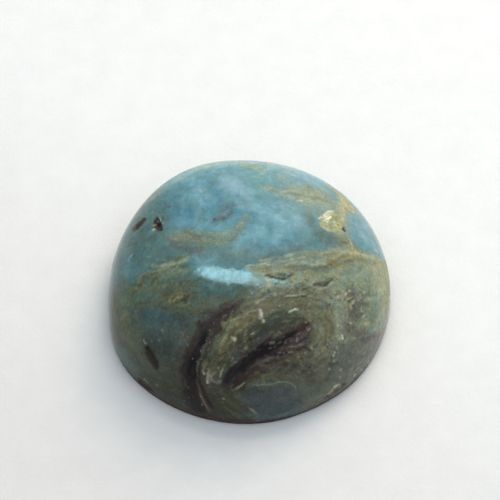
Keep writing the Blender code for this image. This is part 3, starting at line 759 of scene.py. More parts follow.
SWIRL = (
    ("sage", 0.70, 7, 0.3, ((236, 300, 3), (247, 298, 5), (256, 296, 3))),
    ("moss", 0.45, 12, 0, ((176, 316, 4), (192, 318, 6), (204, 313, 4))),
    ("dusk", 0.62, 12, 0.2, ((238, 304, 4), (217, 321, 9), (205, 338, 11), (199, 356, 12),
                             (197, 376, 12), (200, 394, 11), (207, 411, 8))),
    ("dusk", 0.75, 8, 0.3, ((240, 304, 2), (231, 310, 6), (218, 319, 9.4), (206, 328, 10),
                            (200, 340, 9), (197, 352, 9))),
    ("dusk", 0.75, 5, 0.4, ((238, 304, 1), (231, 309, 4.4), (222, 315, 6), (213, 322, 6),
                            (206, 330, 6), (202, 339, 5.6), (198, 348, 6))),
    ("maroon", 0.85, 6, 0.4, ((202, 340, 4), (198, 347, 6.2), (193.6, 358, 7.4),
                              (190.6, 372, 7.4), (191, 388, 7.4), (195, 402, 7), (202, 414, 5))),
    ("maroon", 0.60, 4, 0.3, ((236, 304.6, 1.4), (230, 308, 3.2), (224, 312, 2.4))),
    ("maroon", 0.55, 4, 0.3, ((221, 318, 2), (214, 321.6, 3.2), (207, 325, 2))),
    ("rust", 0.22, 3, 0.3, ((233, 305, 1), (227, 309, 1.6), (223, 313, 1))),
    ("dusk", 0.60, 3, 0.1, ((200, 330, 1.4), (206, 334, 2), (209, 341, 1.4))),
    ("olive", 0.35, 3, 0.2, ((234, 311, 1), (226, 316, 1.6), (222, 322, 1))),
    ("black", 0.93, 5, 0.2, ((205, 330, 2.4), (202, 343, 5), (199, 354, 6.4), (195.4, 366, 6.8),
                             (192.4, 380, 7.2), (194, 394, 7), (199, 408, 6.6))),
    ("brown", 0.50, 6, 0.3, ((211, 342, 2), (206, 356, 4), (204, 370, 4), (206, 388, 3))),
    ("black", 0.55, 9, 0, ((190, 362, 6), (188, 378, 7), (190, 394, 7), (198, 410, 6))),
    ("black", 0.75, 2.6, 0, ((199, 321, 1), (200.4, 323.6, 1.4), (199, 326, 0.8))),
    ("dusk", 0.60, 7, 0.3, ((233, 312, 3), (225, 320, 5), (217, 329, 6), (212, 338, 5),
                            (208, 350, 4))),
    ("brown", 0.35, 4, 0.3, ((221, 326, 1.4), (215, 333, 3), (210, 340, 2.4))),
    ("mauve", 0.60, 3.4, 0.3, ((222, 321, 1.4), (213, 330, 1.8), (207, 340, 1.6), (203, 352, 1.3))),
    ("moss", 0.48, 12, 0.2, ((214, 326, 4), (222, 344, 6), (222, 358, 6))),
    ("moss", 0.30, 12, 0.2, ((248, 324, 5), (238, 338, 7), (232, 352, 6))),
    ("moss", 0.34, 10, 0.2, ((222, 326, 5), (218, 340, 6), (216, 354, 5))),
    ("moss", 0.20, 10, 0, ((256, 302, 4), (260, 312, 5))),
    ("dusk", 0.34, 14, 0.3, ((246, 318, 6), (228, 336, 10), (217, 356, 11), (212, 376, 9))),
    ("grey", 0.60, 2.4, 0.2, ((206, 341, 0.8), (203.6, 347, 1.1), (202, 354, 0.7))),
    ("grey", 0.55, 2.4, 0.2, ((205, 351, 0.6), (200, 361, 1.1), (197.6, 370, 0.9), (198, 378, 0.5))),
    ("umber", 0.80, 5, 0.6, ((258, 313, 2), (248, 318, 5), (236, 326, 7), (226, 338, 7),
                             (219, 350, 6), (213, 362, 4))),
    ("moss", 0.50, 7, 0.2, ((216, 332, 4), (230, 334, 6), (242, 338, 6), (252, 344, 6))),
    ("moss", 0.55, 8, 0.2, ((203, 358, 5), (216, 362, 7), (230, 363, 6), (243, 356, 4))),
    ("ochre", 0.45, 4, 0.5, ((256, 314, 1.6), (248, 318, 3), (240, 324, 2))),
    ("sage", 0.60, 4, 0.3, ((221, 338, 1.6), (215, 345, 3), (211, 353, 2))),
    ("tan", 0.75, 2.2, 0.4, ((257, 309.6, 0.8), (249, 313.6, 1), (241, 318, 1), (233, 321.4, 1),
                             (230, 326, 0.8))),
    ("tan", 0.55, 2.4, 0.4, ((232, 322, 0.6), (228, 330, 1.2), (224.6, 337, 1.6), (221, 345, 0.9),
                             (218, 353, 0.6))),
    ("cream", 0.42, 1.8, 0.2, ((229, 333, 0.6), (224.6, 338, 1.2), (222, 341.6, 0.7))),
    ("ochre", 0.65, 2.2, 0.4, ((229, 343, 0.6), (225, 350, 1.4), (221, 357, 1.4), (216, 364, 0.8))),
    ("brown", 0.70, 1.8, 0, ((231, 342.4, 0.6), (234, 342, 1), (237, 340, 0.5))),
    ("brown", 0.55, 2.4, 0.2, ((238, 332, 0.8), (232, 345, 1.1), (225, 356, 0.8))),
    ("pale_sage", 0.32, 3, 0.2, ((236, 346, 0.6), (230, 354, 1.1), (226, 360, 0.9))),
    ("rust", 0.50, 1.8, 0, ((239, 321, 0.6), (242, 320, 0.8))),
    ("moss", 0.75, 7, 0.4, ((246, 341, 5), (256, 333, 8), (270, 324, 9), (288, 318, 7),
                            (302, 320, 3))),
    ("sage", 0.50, 4, 0.3, ((262, 324, 1), (276, 318, 1.8), (292, 315, 1.6), (304, 316, 1))),
    ("umber", 0.50, 5, 0.4, ((262, 302, 2), (280, 303, 3.4), (300, 303, 3.4), (318, 309, 3.4))),
    ("brown", 0.45, 4, 0.3, ((272, 308, 1.4), (290, 306, 2), (308, 308, 2), (318, 318, 2))),
    ("olive", 0.55, 5, 0.4, ((262, 294, 2), (284, 292, 2.6), (303, 292, 2.6), (318, 298, 2))),
    ("pale_sage", 0.28, 8, 0.1, ((314, 304, 3), (320, 316, 4), (322, 330, 4), (319, 344, 4),
                                 (317, 356, 5))),
    ("pale_sage", 0.35, 8, 0.1, ((334, 298, 3), (342, 311, 4), (341, 326, 3))),
    ("pale_sage", 0.55, 5, 0.4, ((322, 296, 2), (334, 304, 3), (340, 318, 3), (339, 334, 2.4),
                                 (334, 346, 1))),
    ("umber", 0.70, 5, 0.6, ((324, 308, 1.4), (329, 320, 2.8), (328, 336, 3), (321, 352, 2.4),
                             (312, 364, 1.4))),
    ("moss", 0.45, 2.4, 0, ((326, 316, 0.5), (331, 326, 0.9), (331, 338, 0.7), (327, 348, 0.5))),
    ("tan", 0.55, 2.2, 0, ((332, 308, 0.5), (336, 318, 0.9), (336, 330, 0.9), (333, 340, 0.5))),
    ("ochre", 0.75, 3, 0.3, ((326, 342, 0.8), (324.6, 349, 2), (320, 355, 1.6), (315, 359, 0.8))),
    ("pale_sage", 0.70, 2.2, 0.2, ((309, 314, 0.5), (311.6, 321, 0.9), (316, 328, 0.9),
                                   (317.6, 336, 0.9), (315, 344, 0.6))),
    ("pale_sage", 0.45, 2.2, 0.2, ((300, 313, 0.5), (310, 310.6, 0.8), (317, 314, 0.8),
                                   (321, 322, 0.8), (322, 332, 0.5))),
    ("umber", 0.60, 3.4, 0.4, ((312, 330, 1), (313, 338, 1.6), (311, 346, 1))),
    ("maroon", 0.75, 1.4, 0, ((277, 299.8, 0.4), (289, 298, 0.6), (298, 297, 0.6),
                              (305, 296.8, 0.8), (314, 298.4, 0.7), (323, 301.6, 0.7),
                              (329.6, 305, 0.5))),
    ("cream", 0.55, 1.3, 0, ((284, 296.8, 0.3), (294, 295.6, 0.5), (304, 294.8, 0.5),
                             (314, 296.2, 0.3))),
    ("tan", 0.55, 1.8, 0, ((316, 296.6, 0.4), (325, 299, 0.7), (332, 303, 0.5))),
    ("white", 0.60, 1.2, 0, ((290.4, 311.8, 0.4), (294, 309.8, 0.6), (298.4, 309.6, 0.4))),
)
CORE = (
    ("dusk", 0.42, 14, 0.2, ((236, 352, 8), (254, 344, 10), (274, 334, 10), (296, 326, 6))),
    ("dusk", 0.80, 11, 0.2, ((224, 386, 6), (242, 372, 11), (262, 357, 13), (283, 345, 12),
                             (302, 334, 8), (311, 325, 3))),
    ("maroon", 0.60, 9, 0.2, ((226, 389, 4), (240, 384, 6), (255, 375, 6), (268, 366, 5))),
    ("maroon", 0.95, 4, 0.3, ((224, 384, 3), (234, 375, 6), (247, 364, 8), (262, 352.6, 8),
                              (277, 343, 6.4), (292, 336, 5), (303, 328.6, 3.4),
                              (309, 323.6, 1.6))),
    ("black", 0.95, 4, 0.2, ((228, 380, 3), (240, 370, 6.4), (254, 358.6, 7.4), (268, 347, 6.6),
                             (282, 338.6, 4.4), (296, 332, 2))),
    ("black", 0.85, 6, 0.2, ((231, 377, 2.4), (239, 369, 4.4), (247, 362, 5), (256, 355, 5),
                             (266, 348, 4.6), (276, 343, 4), (286, 339, 3))),
    ("maroon", 0.85, 6, 0.2, ((230, 386, 3), (240, 383, 5), (250, 377, 4), (262, 371, 3))),
    ("black", 0.40, 5, 0.2, ((234, 385, 2), (243, 380, 3), (250, 375, 2))),
    ("maroon", 0.50, 6, 0.2, ((262, 364, 3), (274, 362, 4), (286, 360, 3))),
    ("maroon", 0.55, 5, 0.2, ((276, 354, 3), (286, 350, 3.4), (292, 355, 3))),
    ("black", 0.75, 3, 0.2, ((268, 358, 1.2), (279, 354, 1.8), (289, 353, 1.2))),
    ("mauve", 0.70, 3.4, 0.3, ((290, 341, 1.4), (300, 336, 2.6), (308, 331, 2.4))),
    ("mauve", 0.75, 3.4, 0.3, ((282, 349, 1), (292, 346.6, 1.8), (301, 344.6, 2), (309, 345, 1.6))),
    ("pink", 0.40, 2, 0.2, ((289, 347.4, 0.5), (296, 345.6, 0.8), (303, 344.6, 0.6))),
    ("pink", 0.45, 1.8, 0, ((297, 334.6, 0.5), (300.6, 333.4, 0.8))),
    ("pink", 0.60, 1.6, 0, ((307.4, 328.4, 0.5), (309, 331, 0.7))),
    ("maroon", 0.80, 2.4, 0.2, ((292, 352, 0.8), (300, 350, 1.8), (306, 348, 2), (310, 350.6, 1))),
    ("maroon", 0.65, 2.4, 0.2, ((296, 341, 0.6), (303, 339.6, 1.1), (308, 337, 0.6))),
    ("mauve", 0.65, 3, 0.3, ((252, 368, 1), (262, 361, 1.6), (272, 357.6, 1.4), (280, 358, 0.8))),
    ("dusk", 0.35, 10, 0.3, ((276, 364, 5), (292, 361, 8), (306, 352, 6))),
    ("dusk", 0.55, 9, 0.2, ((228, 384, 4), (236, 374, 7), (247, 366, 6))),
    ("maroon", 0.40, 6, 0.2, ((228, 388, 2), (240, 380, 5), (252, 372, 4))),
    ("brown", 0.30, 10, 0.2, ((258, 378, 4), (276, 374, 6), (292, 374, 5))),
    ("brown", 0.50, 4, 0.3, ((240, 376, 1), (252, 371, 2), (268, 367, 3), (284, 366, 2))),
    ("grey", 0.50, 10, 0.2, ((304, 356, 4), (314, 362, 8), (321, 370, 7))),
    ("pale_sage", 0.20, 8, 0.1, ((316, 346, 3), (322, 354, 5), (330, 348, 4))),
    ("umber", 0.35, 6, 0.4, ((290, 360, 2), (302, 360, 4), (314, 354, 3))),
    ("grey", 0.35, 10, 0.1, ((340, 362, 4), (338, 378, 6), (333, 393, 4))),
    ("umber", 0.40, 6, 0.3, ((252, 384, 2), (262, 378, 3), (276, 374, 3), (292, 378, 3))),
    ("brown", 0.40, 6, 0.3, ((270, 384, 2), (284, 380, 2.4), (298, 388, 2))),
    ("ochre", 0.35, 2, 0.2, ((260, 375.6, 0.6), (270, 373.8, 0.9), (280, 376, 0.8),
                             (288, 380, 0.5))),
    ("slate", 0.95, 7, 0.1, ((246, 396, 2), (254, 397, 7), (268, 397, 10), (284, 397, 9),
                             (298, 399, 6))),
    ("slate", 0.90, 5, 0.1, ((252, 408, 3), (270, 409, 6), (292, 405, 5))),
    ("sea_grey", 0.55, 6, 0.1, ((288, 388, 1.6), (296, 393, 3), (303, 399, 3))),
    ("indigo", 0.50, 7, 0.1, ((256, 392, 2), (268, 394, 5), (280, 398, 3))),
    ("pale_sage", 0.65, 1.8, 0, ((247, 387.6, 0.5), (254, 386, 0.7), (262, 385, 0.7),
                                 (275, 382.8, 0.7), (286, 382.8, 0.8), (293, 385.6, 0.8),
                                 (297, 389.6, 0.5))),
    ("moss", 0.60, 6, 0.2, ((228, 389, 2), (238, 389, 4), (250, 385, 3))),
    ("moss", 0.85, 5, 0.2, ((212, 390, 2.4), (222, 396, 6), (234, 404, 6), (246, 408, 4))),
    ("olive", 0.45, 5, 0.3, ((224, 396, 2), (232, 402, 3), (240, 410, 2))),
    ("olive", 0.75, 2, 0, ((224, 408, 0.5), (231, 412.6, 0.9), (241, 415.6, 0.7))),
    ("brown", 0.60, 3.4, 0.2, ((212, 386, 1.4), (218, 390, 2), (222, 394, 1))),
    ("black", 0.85, 2.4, 0, ((200, 382, 1), (202.6, 391, 1.8), (206, 400, 1.6), (212, 408, 1))),
    ("mauve", 0.80, 2.2, 0, ((197.6, 381, 0.6), (198.6, 389, 1.2), (201, 398, 1.4), (205, 405.6, 1.4),
                             (210, 412, 0.8))),
    ("pink", 0.35, 1.4, 0, ((198, 386, 0.4), (200, 395, 0.7), (204, 404, 0.8), (208, 410, 0.4))),
    ("rust", 0.45, 2, 0, ((200, 396, 0.5), (204, 404, 0.8), (208, 410, 0.5))),
    ("cream", 0.55, 1.3, 0, ((249, 407.6, 0.3), (252.4, 411, 0.6), (255.4, 415, 0.3))),
    ("maroon", 0.50, 7, 0.2, ((234, 384, 3), (244, 377, 4), (255, 370, 4), (264, 365, 2))),
    ("umber", 0.30, 7, 0.4, ((292, 352, 2), (304, 356, 4), (312, 360, 4), (318, 366, 3))),
    ("moss", 0.45, 8, 0.2, ((226, 391, 4), (240, 393, 5), (252, 388, 3))),
    ("brown", 0.30, 8, 0.2, ((217, 366, 3), (224, 374, 5), (222, 384, 4))),
    ("grey", 0.20, 14, 0, ((258, 394, 5), (280, 394, 8), (302, 392, 5))),
    ("mauve", 0.30, 10, 0, ((266, 371, 5), (284, 371, 6), (296, 374, 4))),
    ("black", 0.16, 9, 0, ((256, 373, 4), (270, 372, 5), (284, 372, 4))),
    ("black", 0.12, 7, 0, ((257, 312, 3), (262, 315, 3))),
    ("pink", 0.15, 10, 0, ((318, 342, 4), (322, 354, 5))),
)
PALE_BITS = (
    ("black", 0.74, 5, 0.4, ((226.4, 382, 2), (232, 376, 5.4), (240, 368, 5.6), (249, 360.6, 4.4),
                             (259, 353, 2.6))),
    ("mauve", 0.24, 3, 0.4, ((264, 345, 1), (273, 339.6, 1.4), (284, 335.6, 1.2))),
    ("slate", 0.70, 1.6, 0, ((229, 385.4, 0.5), (233, 380.4, 0.8), (237, 377, 0.5))),
    ("grey", 0.55, 1.2, 0, ((272.6, 343, 0.6), (273.4, 342.2, 0.6))),
    ("maroon", 0.55, 4, 0.3, ((230, 387, 1.4), (238, 381, 2.4), (247, 374.6, 2.4),
                              (257, 368, 1.4))),
    ("black", 0.60, 1.6, 0, ((315, 284.4, 0.7), (318.4, 282, 1.2), (321, 285, 1.3))),
    ("black", 0.60, 1.6, 0, ((326, 284.4, 0.8), (329.4, 281, 1.3), (333, 277.8, 1))),
    ("olive", 0.65, 1.3, 0, ((321.6, 279.8, 0.6), (323.8, 283.6, 0.8), (323, 287, 0.5))),
    ("sage", 0.60, 1.3, 0, ((326.6, 278.6, 0.6), (330, 277, 0.6))),
    ("straw", 0.60, 1.2, 0, ((316.4, 287.6, 0.5), (322, 288.6, 0.5), (328, 287, 0.4))),
    ("tan", 0.65, 1.2, 0, ((320, 280.6, 0.5), (325, 279.6, 0.5))),
    ("cream", 0.36, 3.4, 0.2, ((337, 193, 1), (342.6, 199.4, 1.8), (348.4, 206, 2.4),
                               (353, 211.6, 1.4))),
    ("cream", 0.50, 1.4, 0, ((347.8, 233, 0.4), (350, 239.6, 0.7), (352.4, 249.6, 0.6))),
    ("maroon", 0.95, 1.4, 0, ((344, 228, 1.3), (345, 229.4, 1.3))),
    ("moss", 0.60, 6, 0, ((147, 348, 2), (153, 358, 3.4), (158, 367, 1.4))),
    ("black", 0.92, 3.4, 0.2, ((147, 348.6, 2.2), (149.6, 354.6, 4), (153, 360.4, 4),
                               (156.6, 366.4, 1.6))),
    ("pink", 0.85, 2.0, 0.2, ((258.6, 309.6, 1), (260.4, 314, 2.4), (260.4, 318, 1.6))),
    ("white", 0.45, 1.8, 0, ((260, 311, 0.8), (261.6, 316, 1))),
    ("white", 0.60, 1.6, 0, ((263.2, 320.4, 0.8), (263.6, 322.6, 0.9))),
    ("cream", 0.62, 2, 0.2, ((231.6, 337.4, 0.9), (234.4, 339.8, 1.4))),
    ("cream", 0.65, 1.4, 0, ((250.6, 335, 0.6), (253, 333.4, 0.9))),
    ("grey", 0.55, 1.8, 0, ((257, 340, 0.6), (259.4, 339.4, 0.7))),
    ("grey", 0.45, 1.8, 0, ((272.8, 344, 0.5), (273.6, 342.4, 0.7))),
    ("grey", 0.50, 1.8, 0, ((269, 349.6, 0.7), (270.4, 348.8, 0.6))),
    ("mauve", 0.60, 1.8, 0, ((278, 354, 0.7), (279.4, 353.6, 0.6))),
    ("pink", 0.85, 1.8, 0, ((203.6, 370.6, 1), (205.4, 373, 1.4))),
    ("cream", 0.50, 2.2, 0, ((209.6, 370, 0.6), (208.6, 376, 1.2), (207.8, 381.6, 1.2))),
    ("pink", 0.65, 1.6, 0, ((210, 374, 0.6), (212.4, 377.6, 0.8), (214, 382, 0.6))),
    ("white", 0.50, 1.4, 0, ((207.6, 380, 0.6), (207, 382.4, 0.7))),
    ("pink", 0.55, 1.6, 0, ((212, 376, 0.8), (216, 373, 1))),
    ("cream", 0.50, 1.6, 0, ((225.6, 364, 0.4), (223.4, 370, 0.8), (221.6, 376.6, 0.6))),
    ("pink", 0.40, 3, 0, ((208, 378, 1.4), (213, 381, 1.8))),
    ("grey", 0.80, 2, 0, ((214, 380, 1), (218, 382.4, 1.6), (221.6, 380, 1))),
    ("grey", 0.60, 1.6, 0, ((231, 386, 0.6), (233.4, 384, 0.8))),
    ("cream", 0.50, 1.4, 0, ((235, 388.6, 0.4), (239.6, 386.4, 0.6), (244, 383.6, 0.4))),
    ("grey", 0.45, 1.6, 0, ((231, 390.4, 0.5), (234, 390, 0.6))),
    ("grey", 0.35, 1.8, 0, ((236, 358.6, 0.5), (242, 357, 0.8), (247, 356, 0.4))),
    ("cream", 0.50, 1.3, 0, ((222, 398, 0.5), (222.6, 398.4, 0.6))),
    ("white", 0.85, 1.2, 0, ((341.4, 335, 0.5), (341.6, 338.6, 0.7))),
    ("cream", 0.80, 1.2, 0, ((340.6, 324.6, 0.4), (342, 326.6, 0.5))),
    ("white", 0.75, 1.2, 0, ((335, 352.6, 0.3), (334, 355.4, 0.7), (333.4, 357, 0.3))),
    ("cream", 0.70, 1.2, 0, ((342, 367.6, 0.3), (341, 371, 0.6), (340.6, 373.4, 0.3))),
    ("white", 0.75, 1.2, 0, ((345.2, 294.4, 0.7), (346, 294.8, 0.7))),
    ("cream", 0.70, 1.2, 0, ((347, 301.6, 0.3), (349.4, 299.4, 0.6), (351.4, 298, 0.3))),
    ("cream", 0.65, 1.2, 0, ((346.6, 311, 0.5), (348, 310.4, 0.5))),
    ("cream", 0.60, 1.2, 0, ((359, 288.6, 0.5), (359.6, 289.6, 0.5))),
    ("cream", 0.60, 1.2, 0, ((362.6, 309.4, 0.6), (363, 310.4, 0.5))),
    ("cream", 0.55, 1.2, 0, ((358.6, 367.4, 0.4), (357.6, 370, 0.5))),
    ("pale_sage", 0.75, 1.4, 0, ((312, 346.4, 0.5), (312.4, 350, 0.8))),
    ("cream", 0.55, 1.2, 0, ((299.4, 357.4, 0.6), (300.2, 358, 0.5))),
    ("cream", 0.55, 1.2, 0, ((287.6, 361, 0.5), (288.4, 361.6, 0.5))),
    ("cream", 0.55, 1.2, 0, ((338, 346.4, 0.4), (337.4, 349, 0.5))),
)
# The lower edge of the dome and its chips: maroon and black along the front, partly the brown ground of
# the edge and partly painted shade where the edge faces away from the light
LOW_EDGE_AND_SHADE = (
    ("maroon", 0.85, 3, 0.1, ((120, 361, 1), (134, 379, 1.6), (150, 394, 2.4), (166, 404, 2.8),
                              (184, 411.6, 3), (206, 417.4, 3.2), (228, 420.6, 3), (246, 421.6, 2.6),
                              (266, 420.6, 2), (290, 417, 1.4))),
    ("black", 0.40, 2.2, 0.1, ((150, 396, 0.8), (178, 411, 1.2), (206, 417, 1.4),
                               (236, 421.6, 1))),
    ("maroon", 0.65, 2.6, 0.1, ((114, 346, 0.6), (126, 370, 1), (150, 392, 1.4), (178, 408, 1.4),
                                (206, 417, 1.4), (246, 422, 1.2))),
    ("maroon", 0.45, 2.6, 0.1, ((246, 422, 1.2), (290, 418.6, 1.2), (320, 408, 1.2),
                                (346, 390, 1.2), (366, 366, 1))),
    ("maroon", 0.75, 2.4, 0, ((139, 382, 0.8), (145, 387, 1.5), (151, 392, 1))),
    ("cream", 0.38, 1.3, 0, ((143.6, 378, 0.3), (147, 381, 0.5), (149.6, 384, 0.3))),
    ("rust", 0.60, 2.4, 0, ((328, 396, 1), (334, 392.6, 1.6), (340, 389, 1))),
    ("cream", 0.75, 1.3, 0, ((323.6, 396.4, 0.5), (328.6, 392.6, 0.6), (332, 388.6, 0.6),
                             (337, 385.4, 0.7), (340.4, 385, 0.4))),
    ("brown", 0.70, 2, 0, ((313, 402, 0.8), (317, 403, 1.4), (321, 401, 0.8))),
)
# Fine filaments that run along a curve: minerals, strength, how many, how far to either
# side of the curve, half widths, soft edge, shortest and longest share of the curve's
# length, and the curve
FLOWS = {
    "blue": (
        (("pale_sky", "deep_blue", "lilac_sky"), 0.30, 40, 32, (0.8, 2.6), 9, (0.06, 0.20),
         ((176, 212), (206, 196), (240, 196), (276, 206), (310, 222), (344, 240))),
        (("pale_sky", "deep_blue", "sea_green"), 0.30, 20, 16, (0.8, 2.0), 8, (0.06, 0.20),
         ((180, 176), (220, 170), (262, 172), (300, 182), (330, 198))),
        (("pale_sky", "lilac_sky", "deep_blue"), 0.28, 24, 30, (0.5, 1.4), 5, (0.12, 0.30),
         ((250, 172), (258, 196), (268, 216), (272, 246))),
        (("deep_blue", "teal", "pale_sky"), 0.28, 18, 22, (0.5, 1.4), 5, (0.12, 0.30),
         ((206, 176), (200, 196), (192, 216), (188, 236))),
        (("teal", "sea_green", "deep_blue", "pale_sky"), 0.30, 24, 20, (0.6, 1.8), 7, (0.08, 0.24),
         ((120, 290), (128, 262), (146, 236), (160, 206))),
        (("teal", "deep_blue", "grey_teal"), 0.36, 24, 9, (0.6, 1.6), 6, (0.06, 0.20),
         ((200, 256), (240, 252), (280, 248), (322, 242), (352, 244))),
        (("pale_sky", "deep_blue", "lilac_sky"), 0.32, 12, 9, (0.5, 1.4), 6, (0.15, 0.40),
         ((352, 216), (366, 236), (378, 256))),
    ),
    "veins": (
        (("frost", "sea_grey", "frost", "leaf"), 0.52, 22, 8, (0.4, 1.0), 1.8, (0.2, 0.7),
         ((226, 286), (229, 275), (233, 265))),
        (("frost", "grey_teal", "frost"), 0.30, 26, 13, (0.4, 1.0), 1.8, (0.2, 0.7),
         ((202, 284), (208, 275), (214, 266))),
        (("frost", "leaf", "sea_grey"), 0.46, 22, 8, (0.4, 1.0), 1.8, (0.2, 0.7),
         ((240, 287), (243, 276), (247, 266))),
        (("sea_grey", "indigo", "teal", "sage"), 0.40, 40, 16, (0.5, 1.6), 4, (0.04, 0.14),
         ((128, 324), (150, 318), (170, 324), (184, 344), (184, 370))),
        (("moss", "sage", "slate", "brown"), 0.35, 50, 20, (0.5, 1.6), 4, (0.04, 0.14),
         ((118, 346), (142, 372), (174, 392), (206, 404))),
        (("sea_grey", "sage", "slate", "mauve", "moss"), 0.40, 60, 22, (0.6, 1.7), 3, (0.03, 0.12),
         ((316, 392), (338, 376), (354, 356), (362, 332))),
        (("tan", "sage", "pale_sage", "straw"), 0.26, 10, 5, (0.6, 1.4), 2.2, (0.05, 0.18),
         ((262, 189), (281, 192), (298, 194), (314, 199), (328, 206))),
        (("umber", "sage", "tan", "grey_teal"), 0.24, 26, 7, (0.6, 1.5), 2.6, (0.05, 0.18),
         ((166, 240), (184, 238), (204, 239), (226, 238), (240, 229), (247, 217))),
        (("tan", "umber", "olive", "sage", "pale_sage"), 0.45, 60, 9, (0.6, 1.6), 2.2, (0.03, 0.13),
         ((388, 274), (371, 260), (350, 257), (325, 263), (300, 264), (258, 267))),
        (("olive", "tan", "leaf", "moss", "ochre"), 0.40, 34, 7, (0.5, 1.4), 2.2, (0.06, 0.2),
         ((186, 260), (168, 267), (150, 275), (136, 286))),
        (("olive", "sage", "teal", "moss"), 0.45, 30, 6, (0.6, 1.7), 3, (0.04, 0.14),
         ((350, 248), (320, 252), (290, 255), (258, 258))),
        (("leaf", "olive", "sage", "teal", "tan", "moss"), 0.45, 60, 12, (0.7, 1.9), 3, (0.03, 0.13),
         ((192, 260), (166, 270), (142, 284), (118, 304))),
        (("sea_grey", "teal", "grey_teal", "sage"), 0.40, 30, 14, (0.7, 1.9), 4, (0.04, 0.14),
         ((180, 288), (206, 292), (232, 288), (252, 282))),
        (("leaf", "tan", "sage", "grey"), 0.45, 36, 14, (0.6, 1.6), 2.6, (0.03, 0.13),
         ((386, 282), (372, 292), (364, 308), (362, 328))),
        (("tan", "umber", "pale_sage", "moss"), 0.50, 50, 14, (0.6, 1.7), 2.4, (0.04, 0.14),
         ((258, 286), (286, 284), (316, 290), (338, 302), (346, 320))),
    ),
    "band": (
        (("teal", "sage", "moss", "straw", "umber", "cream"), 0.38, 70, 9, (0.5, 1.2), 1.8,
         (0.04, 0.14), ((258, 266), (282, 263), (308, 263), (334, 260), (350, 256))),
        (("umber", "tan", "sage", "moss"), 0.34, 30, 6, (0.5, 1.1), 1.8, (0.05, 0.16),
         ((268, 287), (288, 288), (308, 289), (326, 294))),
    ),
    "swirl": (
        (("tan", "umber", "moss", "pale_sage", "ochre", "sage"), 0.42, 60, 9, (0.6, 1.5), 2.2,
         (0.03, 0.13),
         ((258, 296), (284, 292), (306, 296), (322, 305), (332, 320), (333, 336), (326, 352),
          (312, 366))),
        (("umber", "moss", "olive", "brown", "pale_sage"), 0.50, 40, 6, (0.6, 1.4), 2, (0.03, 0.14),
         ((262, 306), (288, 304), (309, 309), (318, 322), (318, 338), (308, 352))),
        (("tan", "umber", "moss", "moss", "brown", "sage", "ochre"), 0.45, 70, 10, (0.6, 1.6), 2,
         (0.03, 0.13), ((262, 312), (246, 318), (232, 329), (221, 345), (213, 362), (207, 380))),
        (("moss", "sage", "slate", "umber"), 0.55, 50, 8, (0.6, 1.5), 2.2, (0.03, 0.13),
         ((304, 316), (284, 323), (264, 333), (247, 347), (232, 366))),
        (("maroon", "black", "black", "mauve", "dusk"), 0.45, 50, 8, (0.6, 1.6), 2.2, (0.03, 0.13),
         ((240, 303), (217, 318), (204, 332), (196, 352), (191, 376), (194, 406))),
        (("black", "maroon", "mauve", "black", "black"), 0.45, 44, 7, (0.6, 1.6), 2, (0.03, 0.13),
         ((310, 324), (286, 338), (263, 353), (241, 372), (227, 386))),
        (("brown", "umber", "mauve", "moss", "maroon"), 0.50, 60, 10, (0.6, 1.6), 2.2, (0.03, 0.13),
         ((240, 384), (262, 370), (288, 362), (314, 356))),
        (("umber", "sage", "moss", "brown"), 0.45, 24, 4, (0.6, 1.4), 2, (0.05, 0.2),
         ((236, 391), (256, 381), (276, 377), (292, 382), (302, 394))),
        (("slate", "sea_grey", "indigo", "moss"), 0.40, 30, 10, (0.7, 1.9), 3, (0.04, 0.14),
         ((244, 402), (266, 396), (288, 398), (306, 404))),
        (("moss", "olive", "brown", "sage"), 0.45, 30, 8, (0.6, 1.6), 2.4, (0.03, 0.13),
         ((206, 388), (222, 396), (236, 408), (250, 416))),
    ),
}
LAYERS = (
    BROAD_ZONES, FAR_SIDE, BLUE_CLOUDS_AND_RIM_SHEEN, "blue", BROWN_VEIN, PITS_AND_GLINTS, TAN_VEINS, RIGHT_SIDE,
    LEFT_SIDE, "veins", TAN_BAND_AND_BAR_GLINT, "band", SWIRL, CORE, "swirl", PALE_BITS, LOW_EDGE_AND_SHADE,
)

# Scattered grains: mineral, strength, how many, middle, reach and half widths in pixels,
# how much longer than wide, and the direction they lie in, in degrees
GRAINS = (
    ("cream", 0.55, 30, (357, 306), (22, 22), (0.4, 0.8), 1.6, -60),
    ("cream", 0.50, 28, (350, 352), (26, 30), (0.4, 0.7), 1.8, -70),
    ("pale_sage", 0.50, 50, (286, 288), (34, 12), (0.5, 1.1), 1.8, -30),
    ("moss", 0.50, 44, (286, 288), (36, 12), (0.5, 1.2), 1.8, -20),
    ("tan", 0.40, 36, (231, 338), (17, 26), (0.5, 1.1), 2.4, -55),
    ("moss", 0.45, 36, (234, 342), (20, 30), (0.5, 1.1), 2.4, -55),
    ("pale_sage", 0.34, 30, (302, 310), (34, 14), (0.4, 0.9), 1.6, -30),
    ("grey", 0.40, 14, (266, 350), (40, 8), (0.3, 0.6), 1.4, -35),
    ("pink", 0.35, 16, (290, 350), (24, 12), (0.4, 0.8), 1.4, -30),
    ("tan", 0.35, 24, (304, 364), (20, 10), (0.4, 0.9), 1.4, -10),
    ("black", 0.45, 20, (304, 364), (20, 10), (0.5, 1.1), 1.4, -10),
    ("cream", 0.30, 8, (160, 330), (26, 24), (0.3, 0.6), 1.6, 70),
    ("black", 0.45, 8, (150, 345), (24, 60), (0.4, 0.7), 1.4, 60),
    ("moss", 0.34, 30, (356, 304), (13, 15), (0.5, 1.1), 1.3, 60),
    ("moss", 0.30, 40, (336, 368), (44, 26), (0.6, 1.3), 1.4, -30),
    ("leaf", 0.35, 50, (160, 284), (50, 14), (0.6, 1.4), 2.2, -25),
    ("moss", 0.30, 40, (160, 290), (50, 14), (0.6, 1.2), 2.0, -25),
    ("umber", 0.45, 26, (300, 263), (44, 8), (0.5, 1.1), 3.0, -5),
    ("pale_sky", 0.25, 16, (150, 250), (30, 30), (0.4, 0.8), 1.6, 50),
)


